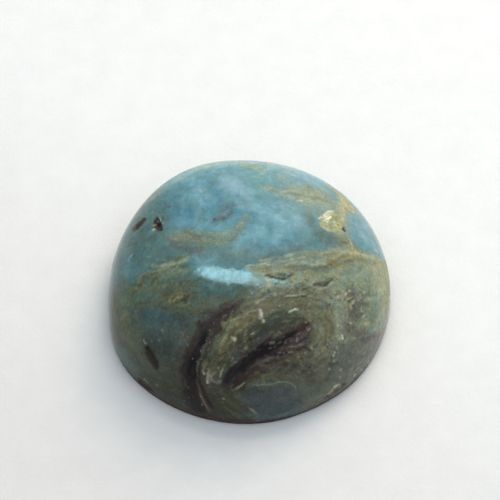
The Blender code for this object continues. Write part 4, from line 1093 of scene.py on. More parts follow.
def noise_values(points, scale, seed):
    """Smooth noise from about -1 to 1 at each point, scale being its size in metres."""
    shift = Vector((seed * 7.3, seed * 3.1, seed * 5.7))
    return np.array([noise.noise(Vector(point) / scale + shift) for point in points])


def noise_vectors(points, scale, seed):
    """Smooth noise with three values at each point."""
    shift = Vector((seed * 7.3, seed * 3.1, seed * 5.7))
    return np.array([noise.noise_vector(Vector(point) / scale + shift) for point in points])


def smooth_curve(points):
    """Points with more between them, on a smooth curve through all of them."""
    if len(points) < 3:
        return points
    ends = [points[0], *points, points[-1]]
    curve = []
    for before, here, there, after in zip(ends, ends[1:], ends[2:], ends[3:]):
        for step in range(CURVE_STEPS):
            part = step / CURVE_STEPS
            curve.append(tuple(
                0.5 * (2 * b + (c - a) * part + (2 * a - 5 * b + 4 * c - d) * part ** 2
                       + (3 * b - a - 3 * c + d) * part ** 3)
                for a, b, c, d in zip(before, here, there, after)
            ))
    curve.append(points[-1])
    return curve


class Face:
    """The stone's surface while its minerals are laid on, one value for each vertex."""

    def __init__(self, points, seen):
        self.points = points
        self.seen = seen
        count = len(points)
        colour, dull, grit, fibre = MINERALS["sky"]
        self.colour = np.tile(np.array(colour), (count, 1))
        self.feel = np.tile(np.array((dull, grit, fibre)), (count, 1))
        self.rag = noise_values(points, 0.0007, 11) + 0.6 * noise_values(points, 0.0003, 12)
        self.patchy = noise_values(points, 0.0011, 13)

    def lay(self, mineral, cover, chosen, banding=0.0):
        """Covers the chosen vertices with a mineral."""
        colour, *feel = MINERALS[mineral]
        cover = cover[:, None]
        shade = np.array(colour) * (1.0 + np.asarray(banding)[..., None])
        self.colour[chosen] = self.colour[chosen] * (1.0 - cover) + shade * cover
        self.feel[chosen] = self.feel[chosen] * (1.0 - cover) + np.array(feel) * cover

    def streak(self, mineral, strength, soft, banding, points):
        """Lays one streak."""
        reach = soft + RAG_REACH + max(point[2] for point in points)
        spots = np.array(points)[:, :2]
        low, high = spots.min(axis=0) - reach, spots.max(axis=0) + reach
        chosen = np.flatnonzero(((self.seen > low) & (self.seen < high)).all(axis=1))
        if len(chosen) == 0:
            return
        seen = self.seen[chosen]
        nearest = np.full(len(chosen), np.inf)
        across = np.zeros(len(chosen))
        along = np.zeros(len(chosen))
        travelled = 0.0
        curve = smooth_curve(points)
        for (ax, ay, aw), (bx, by, bw) in zip(curve, curve[1:]):
            run = np.array((bx - ax, by - ay))
            length = max(math.hypot(*run), 1e-6)
            away = seen - (ax, ay)
            part = np.clip(away @ run / length ** 2, 0.0, 1.0)
            off = away - part[:, None] * run
            gap = np.hypot(off[:, 0], off[:, 1])
            side = np.sign(run[0] * away[:, 1] - run[1] * away[:, 0])
            edge = gap - (aw + (bw - aw) * part)
            closer = edge < nearest
            nearest = np.where(closer, edge, nearest)
            across = np.where(closer, gap * side, across)
            along = np.where(closer, travelled + part * length, along)
            travelled += length
        rag = self.rag[chosen] * min(RAG_MOST, RAG_SHARE * soft)
        rise = np.clip(0.5 - (nearest + rag) / soft, 0.0, 1.0)
        cover = rise * rise * (3.0 - 2.0 * rise) * strength
        patches = PATCHINESS * min(1.0, 8.0 / soft) * self.patchy[chosen]
        cover = cover * np.clip(1.0 + patches, 0.0, 1.2)
        bands = np.zeros(len(chosen))
        if banding > 0.0:
            spots = np.stack((across * BAND_ACROSS, along * BAND_ALONG, across * 0.0), axis=-1)
            bands = banding * noise_values(spots, 1.0, travelled)
        self.lay(mineral, np.clip(cover, 0.0, 1.0), chosen, bands)

    def filaments(self, minerals, strength, count, spread, widths, soft, shares, points, draw):
        """Lays fine filaments side by side along a curve."""
        curve = np.array(smooth_curve([(*point, 0.0) for point in points]))[:, :2]
        steps = np.hypot(*np.diff(curve, axis=0).T)
        travelled = np.concatenate(((0.0,), np.cumsum(steps)))
        for _ in range(count):
            share = draw.uniform(*shares)
            start = draw.uniform(0.0, 1.0 - share)
            stops = np.linspace(start, start + share, FILAMENT_POINTS + 2) * travelled[-1]
            x = np.interp(stops, travelled, curve[:, 0])
            y = np.interp(stops, travelled, curve[:, 1])
            run = np.stack((np.gradient(x), np.gradient(y)), axis=-1)
            run /= np.hypot(run[:, 0], run[:, 1])[:, None]
            aside = draw.uniform(-spread, spread)
            drift = aside + np.linspace(0.0, draw.uniform(-0.2, 0.2) * spread, len(stops))
            width = draw.uniform(*widths)
            places = [
                (px - ry * off, py + rx * off, width * taper)
                for px, py, (rx, ry), off, taper in zip(x, y, run, drift, FILAMENT_TAPER)
            ]
            amount = strength * draw.uniform(0.5, 1.3)
            self.streak(draw.choice(minerals), amount, soft, 0.0, places)

    def grains(self, mineral, strength, count, middle, reach, widths, longer, lie, draw):
        """Scatters small grains over an oval."""
        for _ in range(count):
            turn, out = draw.uniform(0.0, 2.0 * math.pi), math.sqrt(draw.uniform(0.0, 1.0))
            x = middle[0] + reach[0] * out * math.cos(turn)
            y = middle[1] + reach[1] * out * math.sin(turn)
            width = draw.uniform(*widths)
            lean = math.radians(lie + draw.uniform(-30.0, 30.0))
            half = width * longer * draw.uniform(0.5, 1.5)
            dx, dy = half * math.cos(lean), half * math.sin(lean)
            ends = ((x - dx, y - dy, width * 0.6), (x + dx, y + dy, width))
            self.streak(mineral, strength * draw.uniform(0.6, 1.3), 1.6, 0.0, ends)


def far_reach(angle, share, shape, stage):
    """How far points lie beyond the part of the dome that the camera sees, in metres."""
    turns = np.radians(np.arange(0.0, 362.0, 2.0))
    shares = np.linspace(0.0, 1.0, FAR_STEPS + 1)
    step = 0.004
    grid_turn, grid_share = np.meshgrid(turns, shares, indexing="ij")
    places = dome_points(grid_turn, grid_share, shape)
    inner = np.clip(grid_share, step, 1.0 - step)
    down = dome_points(grid_turn, inner + step, shape) - dome_points(grid_turn, inner - step, shape)
    along = dome_points(grid_turn + step, inner, shape) - dome_points(grid_turn - step, inner, shape)
    normal = np.cross(down, along)
    normal /= np.linalg.norm(normal, axis=-1, keepdims=True)
    view = camera_place(shape, stage) - to_middle(places, shape)
    view /= np.linalg.norm(view, axis=-1, keepdims=True)
    facing = (normal * view).sum(axis=-1)
    steps = np.linalg.norm(np.diff(places, axis=1), axis=-1)
    travelled = np.concatenate((np.zeros((len(turns), 1)), np.cumsum(steps, axis=1)), axis=1)
    beyond = facing < FAR_FACING
    first = np.where(beyond.any(axis=1), beyond.argmax(axis=1), FAR_STEPS)
    start = travelled[np.arange(len(turns)), first]
    excess = np.maximum(travelled - start[:, None], 0.0)
    where_turn = np.degrees(angle) % 360.0 / 2.0
    where_share = np.clip(share, 0.0, 1.0) * FAR_STEPS
    low_turn = np.floor(where_turn).astype(int)
    low_share = np.minimum(np.floor(where_share).astype(int), FAR_STEPS - 1)
    a = (where_turn - low_turn)
    b = (where_share - low_share)
    near_row = excess[low_turn, low_share] * (1 - b) + excess[low_turn, low_share + 1] * b
    next_row = excess[low_turn + 1, low_share] * (1 - b) + excess[low_turn + 1, low_share + 1] * b
    return near_row * (1 - a) + next_row * a


def share_of(points, shape):
    """Direction and share, the other way round from dome_points."""
    moved = points + middle_of_outline(shape)
    angle = np.arctan2(moved[:, 1], moved[:, 0])
    power = DOME_POWER + swell(np.degrees(angle), DOME_SWELLS)
    out = np.hypot(moved[:, 0], moved[:, 1]) / outline_radius(angle, shape)
    rise = np.clip((moved[:, 2] - shape.wall_height) / (SIZE.z - shape.wall_height), 0.0, 1.0)
    across = np.clip(out, 0.0, 1.0) ** (power / 2.0)
    upward = rise ** (power / 2.0)
    return angle, np.arctan2(across, upward) / (math.pi / 2.0)


def paint_places(points, zone, shape, stage):
    """Where each vertex is found on the painted picture, in pixels of the photograph."""
    seen = to_pixels(points, shape, stage)
    angle, share = share_of(points, shape)
    share = np.where(zone[:, 0] + zone[:, 1] > 0.0, 1.0, share)
    pixel = stage.distance / stage.focal_pixels
    beyond = far_reach(angle, share, shape, stage) / pixel
    below = np.maximum(shape.wall_height - points[:, 2], 0.0) / pixel * zone[:, 0]
    outward = np.stack((np.cos(angle), -np.sin(angle)), axis=-1)
    behind = np.clip(np.sin(angle) * 2.0 + 0.5, 0.0, 1.0)
    seen = seen + outward * (beyond + below * behind)[:, None]
    flat = zone[:, 1] > 0.0
    plan = np.stack(
        (FRAME_PIXELS / 2.0 + points[:, 0] / pixel, 290.0 - 0.82 * points[:, 1] / pixel), axis=-1,
    )
    plan = plan + BACK_DRIFT * noise_vectors(points, 0.006, 31)[:, :2]
    return np.where(flat[:, None], plan, seen)


def to_middle(points, shape):
    """Moves points so that the middle of the outline is the origin."""
    return points - middle_of_outline(shape)


def grow_dome(bm, shape):
    """Upper half of a cube blown up to a ball and then pressed to the dome."""
    bmesh.ops.create_cube(bm, size=2.0)
    bm.normal_update()
    underside = [face for face in bm.faces if face.normal.z < -0.5]
    bmesh.ops.delete(bm, geom=underside, context="FACES_ONLY")
    bmesh.ops.subdivide_edges(
        bm, edges=bm.edges[:], cuts=shape.grid - 1, use_grid_fill=True,
    )
    below = [vert for vert in bm.verts if vert.co.z < -1e-5]
    bmesh.ops.delete(bm, geom=below, context="VERTS")
    for vert in bm.verts:
        evened = [math.tan(value * math.pi / 4.0) for value in vert.co]
        vert.co = Vector(evened).normalized()
    rounded = np.array([vert.co[:] for vert in bm.verts])
    angle = np.arctan2(rounded[:, 1], rounded[:, 0])
    share = np.arccos(np.clip(rounded[:, 2], 0.0, 1.0)) / (math.pi / 2.0)
    pressed = to_middle(dome_points(angle, share, shape), shape)
    for vert, place in zip(bm.verts, pressed):
        vert.co = place


def wall_rows(shape):
    """Height and inset of each row of the edge wall and of its eased lower corner."""
    rows = []
    straight = shape.wall_height - shape.eased_height
    for step in range(1, WALL_STEPS + 1):
        part = step / WALL_STEPS
        rows.append((shape.wall_height - straight * part, shape.wall_lean * part))
    for step in range(1, CORNER_STEPS + 1):
        turn = math.pi / 2.0 * step / CORNER_STEPS
        height = shape.eased_height * (1.0 - math.sin(turn))
        inset = shape.wall_lean + shape.eased_width * (1.0 - math.cos(turn))
        rows.append((height, inset))
    return rows


def grow_wall(bm, shape):
    """Draws the edge wall down from the dome's rim, and returns its lowest edges."""
    rim = [edge for edge in bm.edges if edge.is_boundary]
    middle = middle_of_outline(shape)
    for height, inset in wall_rows(shape):
        drawn = bmesh.ops.extrude_edge_only(bm, edges=rim)["geom"]
        verts = [item for item in drawn if isinstance(item, bmesh.types.BMVert)]
        around = np.array([vert.co[:] for vert in verts]) + middle
        angle = np.arctan2(around[:, 1], around[:, 0])
        reach = outline_radius(angle, shape) - inset
        for vert, turn, out in zip(verts, angle, reach):
            vert.co = (
                out * math.cos(turn) - middle[0], out * math.sin(turn) - middle[1], height,
            )
        rim = [item for item in drawn if isinstance(item, bmesh.types.BMEdge)]
    return rim


def grow_back(bm, rim, shape):
    """Flat back: a square grid pressed to the outline, and the ring round it filled."""
    made = bmesh.ops.create_grid(
        bm, x_segments=BACK_GRID, y_segments=BACK_GRID, size=1.0,
    )["verts"]
    middle = middle_of_outline(shape)
    flat = np.array([vert.co[:] for vert in made])
    across = flat[:, 0] * np.sqrt(1.0 - flat[:, 1] ** 2 / 2.0)
    along = flat[:, 1] * np.sqrt(1.0 - flat[:, 0] ** 2 / 2.0)
    angle = np.arctan2(along, across)
    inset = shape.wall_lean + shape.eased_width + BACK_MARGIN
    reach = (outline_radius(angle, shape) - inset) * np.hypot(across, along)
    for vert, turn, out in zip(made, angle, reach):
        vert.co = (out * math.cos(turn) - middle[0], out * math.sin(turn) - middle[1], 0.0)
    inner = {vert for vert in made}
    grid_edge = [
        edge for edge in bm.edges
        if edge.is_boundary and edge.verts[0] in inner and edge.verts[1] in inner
    ]
    bmesh.ops.triangle_fill(
        bm, edges=rim + grid_edge, use_beauty=True, normal=(0.0, 0.0, -1.0),
    )


def mesh_points(mesh):
    """Vertex places as an array."""
    flat = np.empty(len(mesh.vertices) * 3, dtype=np.float32)
    mesh.vertices.foreach_get("co", flat)
    return flat.reshape(-1, 3).astype(np.float64)


def mesh_normals(mesh):
    """Vertex normals as an array."""
    flat = np.empty(len(mesh.vertices) * 3, dtype=np.float32)
    mesh.vertex_normals.foreach_get("vector", flat)
    return flat.reshape(-1, 3).astype(np.float64)


def store_points(mesh, points):
    """Writes vertex places back."""
    mesh.vertices.foreach_set("co", points.astype(np.float32).ravel())
    mesh.update()


def dome_frame(turn, share, shape):
    """Place and axes at a point of the dome: level, across and outward."""
    step = 0.01
    spots = dome_points(
        np.array((turn, turn, turn, turn + step, turn - step)),
        np.array((share, min(share + step, 1.0), share - step, share, share)), shape,
    )
    outward = Vector(spots[1] - spots[2]).cross(Vector(spots[3] - spots[4])).normalized()
    level = Vector((0.0, 1.0, 0.0)).cross(outward).normalized()
    if abs(outward.z) < 0.3:
        level = Vector((0.0, 0.0, 1.0)).cross(outward).normalized()
    return to_middle(spots[0], shape), level, outward.cross(level), outward


def sink_hollows(points, shape):
    """Sinks every pit and chip into the surface, and returns how deep each vertex lies."""
    sunk = np.zeros(len(points))
    for direction, share, length, width, depth, turn in HOLLOWS:
        place, level, across, outward = dome_frame(math.radians(direction), share, shape)
        lean = math.radians(turn)
        axis_u = np.array(level * math.cos(lean) + across * math.sin(lean))
        axis_v = np.array(across * math.cos(lean) - level * math.sin(lean))
        away = points - place
        u, v = away @ axis_u / (length / 2.0), away @ axis_v / (width / 2.0)
        near = np.flatnonzero((np.hypot(u, v) < 1.6) & (np.abs(away @ np.array(outward)) < width))
        ragged = 1.0 + HOLLOW_RAG * (
            noise_values(points[near], width / 3.0, direction)
            + noise_values(points[near], HOLLOW_CRUMB, direction + 1.0)
        )
        out = np.hypot(u[near], v[near]) / ragged
        floor = 0.7 + HOLLOW_FLOOR * noise_values(points[near], HOLLOW_CRUMB, share)
        deep = HOLLOW_SHOWN * depth * np.clip((1.0 - out) * 3.0, 0.0, 1.0) * floor
        points[near] -= deep[:, None] * np.array(outward)
        sunk[near] = np.maximum(sunk[near], deep / depth)
    return sunk


def store_values(mesh, name, values):
    """Stores three values for each vertex."""
    layer = mesh.attributes.new(name, "FLOAT_COLOR", "POINT")
    four = np.concatenate((values, np.ones((len(values), 1))), axis=1)
    layer.data.foreach_set("color", four.astype(np.float32).ravel())


def paint_stone(mesh, zone, sunk, shape, stage):
    """Lays every mineral on the stone, stores the colours, and returns how gritty it is."""
    points = mesh_points(mesh)
    seen = paint_places(points, zone, shape, stage)
    for scale, reach in WARPS:
        seen = seen + reach * noise_vectors(points, scale, 41 + reach)[:, :2]
    face = Face(points, seen)
    draw = random.Random(5)
    for layer in LAYERS:
        for item in FLOWS[layer] if isinstance(layer, str) else layer:
            if isinstance(layer, str):
                face.filaments(*item, draw)
            else:
                face.streak(*item)
    for grain in GRAINS:
        face.grains(*grain, draw)
    store_values(mesh, "stone_colour", face.colour)
    store_values(mesh, "stone_feel", face.feel)
    store_values(mesh, "stone_zone", np.concatenate((zone, sunk[:, None]), axis=1))
    return face.feel[:, 1]


def rough_relief(points, normals, grit, zone):
    """Uneven ground of the wall, and shallow crumbled places in the gritty minerals."""
    coarse = noise_values(points, RELIEF_COARSE, 51)
    fine = noise_values(points, RELIEF_FINE, 52)
    wall = WALL_RELIEF * zone[:, 0] * (coarse + fine)
    crumbled = np.clip(grit * 2.0 - 0.6, 0.0, 1.0) * (1.0 - zone[:, 0]) * (1.0 - zone[:, 1])
    pits = -PIT_RELIEF * crumbled * np.maximum(coarse + 0.8 * fine, 0.0)
    return points + normals * (wall + pits)[:, None]


class CABOCHON_OT_stone(bpy.types.Operator):
    """Makes the stone: its dome, edge wall, flat back, pits, colours and polish"""

    bl_idname = "cabochon.stone"
    bl_label = "Larimar stone"

    def execute(self, context):
        shape = context.scene.stone_shape
        bm = bmesh.new()
        grow_dome(bm, shape)
        rim = grow_wall(bm, shape)
        grow_back(bm, rim, shape)
        bmesh.ops.recalc_face_normals(bm, faces=bm.faces[:])
        mesh = bpy.data.meshes.new("larimar_stone")
        bm.to_mesh(mesh)
        bm.free()
        mesh.shade_smooth()
        points = mesh_points(mesh)
        foot = shape.wall_height - 0.00001
        flat = points[:, 2] < 1e-6
        zone = np.stack(((points[:, 2] < foot) & ~flat, flat), axis=-1).astype(np.float64)
        sunk = sink_hollows(points, shape)
        grit = paint_stone(mesh, zone, sunk, shape, context.scene.stage_settings)
        store_points(mesh, rough_relief(points, mesh_normals(mesh), grit, zone))
        mesh.materials.append(stone_material())
        stone = bpy.data.objects.new("larimar_stone", mesh)
        context.scene.collection.objects.link(stone)
        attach(stone, BODY)
        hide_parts(NODE)
        return {"FINISHED"}


def add_node(tree, kind, place, **settings):
    """A node of a kind, with its settings."""
    node = tree.nodes.new(kind)
    node.location = place
    for name, value in settings.items():
        setattr(node, name, value)
    return node


def spread_value(tree, source, low, high, place, start=0.0, end=1.0):
    """Maps a value from one range to another."""
    node = add_node(tree, "ShaderNodeMapRange", place)
    node.inputs["From Min"].default_value = start
    node.inputs["From Max"].default_value = end
    node.inputs["To Min"].default_value = low
    node.inputs["To Max"].default_value = high
    tree.links.new(source, node.inputs["Value"])
    return node.outputs["Result"]


def combine(tree, operation, first, second, place):
    """Arithmetic on two values, each a socket or a number."""
    node = add_node(tree, "ShaderNodeMath", place, operation=operation)
    for socket, value in zip(node.inputs, (first, second)):
        if isinstance(value, bpy.types.NodeSocket):
            tree.links.new(value, socket)
        else:
            socket.default_value = value
    return node.outputs[0]


def mix_colours(tree, blend, factor, first, second, place):
    """Mixes two colours, each a socket or a colour."""
    node = add_node(tree, "ShaderNodeMix", place, data_type="RGBA", blend_type=blend)
    for socket, value in zip((node.inputs[0], node.inputs[6], node.inputs[7]),
                             (factor, first, second)):
        if isinstance(value, bpy.types.NodeSocket):
            tree.links.new(value, socket)
        elif isinstance(value, tuple):
            socket.default_value = (*value, 1.0)
        else:
            socket.default_value = value
    return node.outputs[2]


def noise_at(tree, place_socket, millimetres, detail, place, roughness=0.6, distortion=0.0):
    """Noise whose features are about so many millimetres across."""
    node = add_node(tree, "ShaderNodeTexNoise", place)
    node.inputs["Scale"].default_value = 1000.0 / millimetres
    node.inputs["Detail"].default_value = detail
    node.inputs["Roughness"].default_value = roughness
    node.inputs["Distortion"].default_value = distortion
    tree.links.new(place_socket, node.inputs["Vector"])
    return node.outputs["Fac"]


def stone_material():
    """Larimar: painted minerals, fine grain, pale specks that are partly painted glints, and a polish
    that differs by mineral.
    """
    material = bpy.data.materials.new("larimar")
    material.use_nodes = True
    tree = material.node_tree
    surface = tree.nodes["Principled BSDF"]
    spot = add_node(tree, "ShaderNodeTexCoord", (-1800, 0)).outputs["Object"]
    colour = add_node(
        tree, "ShaderNodeAttribute", (-1800, 400), attribute_name="stone_colour",
    ).outputs["Color"]
    feel = add_node(tree, "ShaderNodeSeparateColor", (-1600, 200))
    zone = add_node(tree, "ShaderNodeSeparateColor", (-1600, -200))
    tree.links.new(
        add_node(tree, "ShaderNodeAttribute", (-1800, 200), attribute_name="stone_feel")
        .outputs["Color"], feel.inputs[0],
    )
    tree.links.new(
        add_node(tree, "ShaderNodeAttribute", (-1800, -200), attribute_name="stone_zone")
        .outputs["Color"], zone.inputs[0],
    )
    dull, grit, fibre = feel.outputs
    wall, back, sunk = zone.outputs

    cloud = noise_at(tree, spot, 0.9, 5.0, (-1600, 700), 0.62, 0.6)
    grain = noise_at(tree, spot, 0.24, 3.0, (-1600, 550), 0.7)
    hue = noise_at(tree, spot, 0.5, 3.0, (-1600, 1600), 0.6, 0.4)
    soft_grain = combine(
        tree, "MULTIPLY", combine(tree, "SUBTRACT", grain, 0.5, (-1400, 450)),
        spread_value(tree, fibre, 1.6, 0.4, (-1400, 300)), (-1200, 500),
    )
    shade = combine(
        tree, "MULTIPLY", spread_value(tree, cloud, 0.80, 1.20, (-1400, 700), 0.3, 0.7),
        combine(tree, "ADD", soft_grain, 1.0, (-1100, 600)), (-1200, 650),
    )
    toned = mix_colours(tree, "MULTIPLY", 1.0, colour, shade, (-1000, 500))
    warmer = mix_colours(tree, "MULTIPLY", 1.0, toned, (1.16, 1.0, 0.78), (-900, 400))
    cooler = mix_colours(tree, "MULTIPLY", 1.0, toned, (0.84, 1.0, 1.18), (-900, 250))
    swing = combine(
        tree, "MULTIPLY", spread_value(tree, hue, -0.5, 0.5, (-1100, 100), 0.32, 0.68),
        spread_value(tree, fibre, 0.75, 0.30, (-1100, -50)), (-1000, 0),
    )
    toned = mix_colours(
        tree, "MIX", combine(tree, "ADD", swing, 0.5, (-900, 100)), cooler, warmer, (-800, 350),
    )

    # Pale specks where the minerals are gritty: partly pale grains and partly painted glints on the
    # crumbly surface
    speck = add_node(tree, "ShaderNodeTexVoronoi", (-1600, 950))
    speck.inputs["Scale"].default_value = 1000.0 / 0.42
    speck.inputs["Randomness"].default_value = 1.0
    tree.links.new(spot, speck.inputs["Vector"])
    small = spread_value(tree, speck.outputs["Distance"], 1.0, 0.0, (-1400, 950), 0.12, 0.30)
    pick = add_node(tree, "ShaderNodeSeparateColor", (-1400, 1100))
    tree.links.new(speck.outputs["Color"], pick.inputs[0])
    rare = combine(tree, "GREATER_THAN", pick.outputs[0], 0.80, (-1200, 1100))
    light = combine(tree, "MULTIPLY", combine(tree, "MULTIPLY", small, rare, (-1000, 1050)),
                    spread_value(tree, grit, 0.0, 0.60, (-1200, 900), 0.3, 0.75), (-800, 1000))
    speckled = mix_colours(tree, "MIX", light, toned, (0.36, 0.33, 0.22), (-600, 600))
    scarce = combine(tree, "LESS_THAN", pick.outputs[0], 0.13, (-1200, 1250))
    dark = combine(tree, "MULTIPLY", combine(tree, "MULTIPLY", small, scarce, (-1000, 1250)),
                   spread_value(tree, grit, 0.0, 0.75, (-1200, 1400), 0.1, 0.6), (-800, 1250))
    speckled = mix_colours(tree, "MIX", dark, speckled, (0.022, 0.014, 0.010), (-400, 600))

    ground = noise_at(tree, spot, 0.7, 6.0, (-1600, -500), 0.7)
    wall_dark = mix_colours(
        tree, "MIX", spread_value(tree, ground, 0.0, 1.0, (-1400, -500), 0.35, 0.7),
        (0.030, 0.011, 0.006), (0.095, 0.043, 0.024), (-1200, -500),
    )
    walled = mix_colours(
        tree, "MIX", combine(tree, "MULTIPLY", wall, 0.75, (-1000, -300)), speckled, wall_dark,
        (-200, 500),
    )
    backed = mix_colours(
        tree, "MIX", combine(tree, "MULTIPLY", back, 0.35, (-200, 200)), walled,
        (0.16, 0.17, 0.14), (0, 500),
    )
    tree.links.new(backed, surface.inputs["Base Color"])

    rough = combine(tree, "ADD", spread_value(tree, dull, 0.045, 0.65, (-1000, 0)),
                    spread_value(tree, grain, -0.02, 0.02, (-1200, 300), 0.25, 0.75), (-800, 0))
    rough = combine(tree, "ADD", rough, combine(tree, "MULTIPLY", wall, 0.45, (-800, -200)),
                    (-600, 0))
    rough = combine(tree, "ADD", rough, combine(tree, "MULTIPLY", back, 0.40, (-800, -350)),
                    (-400, 0))
    rough = combine(tree, "ADD", rough, combine(tree, "MULTIPLY", sunk, 0.35, (-800, -500)),
                    (-200, 0))
    tree.links.new(rough, surface.inputs["Roughness"])

    height = noise_at(tree, spot, 0.30, 4.0, (-1600, -800), 0.6)
    bump = add_node(tree, "ShaderNodeBump", (-200, -600))
    bump.inputs["Distance"].default_value = 0.00004
    tree.links.new(height, bump.inputs["Height"])
    coarse = combine(tree, "MAXIMUM", spread_value(tree, dull, 0.02, 0.55, (-1000, -700)),
                     combine(tree, "MAXIMUM", wall, combine(tree, "MULTIPLY", back, 0.6, (-1000, -1000)),
                             (-800, -900)), (-600, -800))
    tree.links.new(coarse, bump.inputs["Strength"])
    tree.links.new(bump.outputs["Normal"], surface.inputs["Normal"])
    surface.inputs["IOR"].default_value = 1.45
    surface.inputs["Specular IOR Level"].default_value = 0.26
    return material


def make_room(scene, stage):
    """A softly lit room: bright behind the stone, dimmer in front of it."""
    world = bpy.data.worlds.new("room")
    world.use_nodes = True
    tree = world.node_tree
    background = tree.nodes["Background"]
    direction = add_node(tree, "ShaderNodeTexCoord", (-900, 0))
    toward = add_node(tree, "ShaderNodeVectorMath", (-700, 0), operation="DOT_PRODUCT")
    turn, rise = stage.glow_turn, stage.glow_rise
    toward.inputs[1].default_value = (
        math.sin(turn) * math.cos(rise), math.cos(turn) * math.cos(rise), math.sin(rise),
    )
    spread = add_node(
        tree, "ShaderNodeMapRange", (-500, 0), interpolation_type="SMOOTHERSTEP",
    )
    spread.inputs["From Min"].default_value = stage.glow_start
    spread.inputs["From Max"].default_value = 1.0
    shade = add_node(tree, "ShaderNodeMix", (-300, 0), data_type="RGBA")
    shade.inputs[6].default_value = (*stage.dim_light, 1.0)
    shade.inputs[7].default_value = (*stage.glow_light, 1.0)
    tree.links.new(direction.outputs["Generated"], toward.inputs[0])
    tree.links.new(toward.outputs["Value"], spread.inputs["Value"])
    tree.links.new(spread.outputs["Result"], shade.inputs[0])
    height = add_node(tree, "ShaderNodeSeparateXYZ", (-500, -300))
    tree.links.new(direction.outputs["Generated"], height.inputs[0])
    upward = spread_value(tree, height.outputs["Z"], 0.0, 1.0, (-300, -300), 0.0, 0.2)
    backdrop = mix_colours(
        tree, "MIX", upward, tuple(stage.backdrop_low), tuple(stage.backdrop_high), (-100, -300),
    )
    seen = add_node(tree, "ShaderNodeLightPath", (-300, 300)).outputs["Is Camera Ray"]
    shown = mix_colours(tree, "MIX", seen, shade.outputs[2], backdrop, (100, 0))
    tree.links.new(shown, background.inputs["Color"])
    scene.world = world


def matt_light(name, place, size, brightness, colour):
    """A round soft light that brightens matt surfaces and leaves no spot on a polish."""
    data = bpy.data.lights.new(name, "AREA")
    data.shape = "DISK"
    data.size = size
    data.energy = brightness * (math.pi * size / 2.0) ** 2
    data.color = colour
    light = bpy.data.objects.new(name, data)
    light.location = place
    light.visible_camera = False
    light.visible_glossy = False
    light.rotation_euler = (-Vector(place)).to_track_quat("-Z", "Y").to_euler()
    bpy.context.scene.collection.objects.link(light)


def round_corner(data, stage):
    """Rounds the bar's corner to the left and toward the viewer."""
    data.use_nodes = True
    tree = data.node_tree
    across = add_node(tree, "ShaderNodeSeparateXYZ", (-800, 0))
    tree.links.new(add_node(tree, "ShaderNodeNewGeometry", (-1000, 0)).outputs["Parametric"],
                   across.inputs[0])
    reach = stage.corner_length / stage.bar_length
    left = spread_value(tree, across.outputs[0], 1.0, 0.0, (-600, 100), 0.0, reach)
    near = spread_value(tree, across.outputs[1], 1.0, 0.0, (-600, -150), 0.0, stage.corner_share)
    out = combine(
        tree, "ADD", combine(tree, "POWER", left, 2.0, (-400, 100)),
        combine(tree, "POWER", near, 2.0, (-400, -150)), (-200, 0),
    )
    shown = spread_value(tree, out, 1.0, 0.0, (0, 0), 0.9, 1.1)
    tree.links.new(shown, tree.nodes["Emission"].inputs["Strength"])


def ceiling_light(stage, name, brightness, matt):
    """The long light overhead: either its light on matt surfaces or its bar on the polish."""
    data = bpy.data.lights.new(name, "AREA")
    data.shape = "RECTANGLE"
    data.size, data.size_y = stage.bar_length, stage.bar_width
    data.energy = brightness * stage.bar_length * stage.bar_width * math.pi
    data.color = stage.bar_glow if matt else stage.bar_colour
    light = bpy.data.objects.new(name, data)
    height = stage.bar_height if matt else stage.bar_height - BAR_DROP
    light.location = (stage.bar_right, stage.bar_back, height)
    light.rotation_euler = (0.0, 0.0, stage.bar_turn)
    light.visible_camera = False
    light.visible_glossy = not matt
    light.visible_diffuse = matt
    if not matt:
        round_corner(data, stage)
    bpy.context.scene.collection.objects.link(light)


def mottled_paper(stage):
    """Pale paper: faint mottling, a fine grain, and a slow shade toward one corner."""
    paper = bpy.data.materials.new("paper")
    paper.use_nodes = True
    tree = paper.node_tree
    surface = tree.nodes["Principled BSDF"]
    spot = add_node(tree, "ShaderNodeTexCoord", (-1400, 0)).outputs["Object"]
    toward = add_node(tree, "ShaderNodeVectorMath", (-1200, 200), operation="DOT_PRODUCT")
    toward.inputs[1].default_value = (-0.55, -0.83, 0.0)
    tree.links.new(spot, toward.inputs[0])
    fall = spread_value(
        tree, toward.outputs["Value"], 0.0, 1.0, (-1000, 200), -0.012, stage.shade_end,
    )
    mottle = noise_at(tree, spot, 3.0, 4.0, (-1200, -100), 0.6)
    fibre = noise_at(tree, spot, 0.35, 3.0, (-1200, -300), 0.65)
    paper_tone = mix_colours(
        tree, "MIX", spread_value(tree, mottle, 0.0, 1.0, (-1000, -100), 0.3, 0.7),
        tuple(stage.paper_colour), tuple(value * 0.955 for value in stage.paper_colour),
        (-800, 0),
    )
    paper_tone = mix_colours(tree, "MULTIPLY", fall, paper_tone, tuple(stage.shade_colour), (-600, 0))
    tree.links.new(paper_tone, surface.inputs["Base Color"])
    bump = add_node(tree, "ShaderNodeBump", (-400, -300))
    bump.inputs["Distance"].default_value = 0.00009
    bump.inputs["Strength"].default_value = 0.5
    tree.links.new(combine(tree, "ADD", fibre, mottle, (-800, -300)), bump.inputs["Height"])
    tree.links.new(bump.outputs["Normal"], surface.inputs["Normal"])
    surface.inputs["Roughness"].default_value = 0.9
    return paper


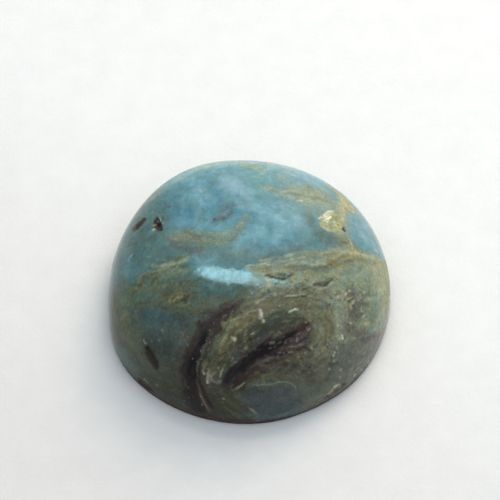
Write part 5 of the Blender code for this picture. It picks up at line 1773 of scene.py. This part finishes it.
class CABOCHON_OT_stage(bpy.types.Operator):
    """Makes the pale floor, the soft lights and the camera"""

    bl_idname = "cabochon.stage"
    bl_label = "Stage"

    def execute(self, context):
        scene = context.scene
        shape = scene.stone_shape
        stage = scene.stage_settings
        bm = bmesh.new()
        bmesh.ops.create_grid(bm, x_segments=1, y_segments=1, size=2.0)
        mesh = bpy.data.meshes.new("floor")
        bm.to_mesh(mesh)
        bm.free()
        floor = bpy.data.objects.new("floor", mesh)
        scene.collection.objects.link(floor)
        mesh.materials.append(mottled_paper(stage))
        make_room(scene, stage)
        ceiling_light(stage, "ceiling_light", stage.bar_brightness, True)
        ceiling_light(stage, "ceiling_bar", stage.bar_shine, False)
        matt_light(
            "near_light", stage.near_place, stage.near_size, stage.near_brightness,
            stage.near_colour,
        )
        matt_light(
            "room_light", stage.room_place, stage.room_size, stage.room_brightness,
            stage.room_colour,
        )
        data = bpy.data.cameras.new("camera")
        data.sensor_width = SENSOR_WIDTH
        data.lens = stage.focal_pixels / FRAME_PIXELS * SENSOR_WIDTH
        data.clip_start = 0.01
        camera = bpy.data.objects.new("camera", data)
        right, up, back = camera_axes(stage)
        turned = Matrix((right, up, back)).transposed()
        camera.matrix_world = Matrix.Translation(camera_place(shape, stage)) @ turned.to_4x4()
        scene.collection.objects.link(camera)
        scene.camera = camera
        scene.view_settings.view_transform = "Standard"
        return {"FINISHED"}


class CABOCHON_PT_panel(bpy.types.Panel):
    """Lists the pieces"""

    bl_idname = "CABOCHON_PT_panel"
    bl_label = "Larimar cabochon"
    bl_space_type = "VIEW_3D"
    bl_region_type = "UI"
    bl_category = "Cabochon"

    def draw(self, context):
        self.layout.operator(CABOCHON_OT_stone.bl_idname)
        self.layout.operator(CABOCHON_OT_stage.bl_idname)


CLASSES = (
    StoneShape,
    StageSettings,
    CABOCHON_OT_stone,
    CABOCHON_OT_stage,
    CABOCHON_PT_panel,
)


def register():
    for item in CLASSES:
        bpy.utils.register_class(item)
    bpy.types.Scene.stone_shape = bpy.props.PointerProperty(type=StoneShape)
    bpy.types.Scene.stage_settings = bpy.props.PointerProperty(type=StageSettings)


def unregister():
    del bpy.types.Scene.stage_settings
    del bpy.types.Scene.stone_shape
    for item in reversed(CLASSES):
        bpy.utils.unregister_class(item)


def main():
    register()
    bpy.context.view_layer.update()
    bpy.ops.cabochon.stage()
    bpy.ops.cabochon.stone()


if __name__ == "__main__":
    main()
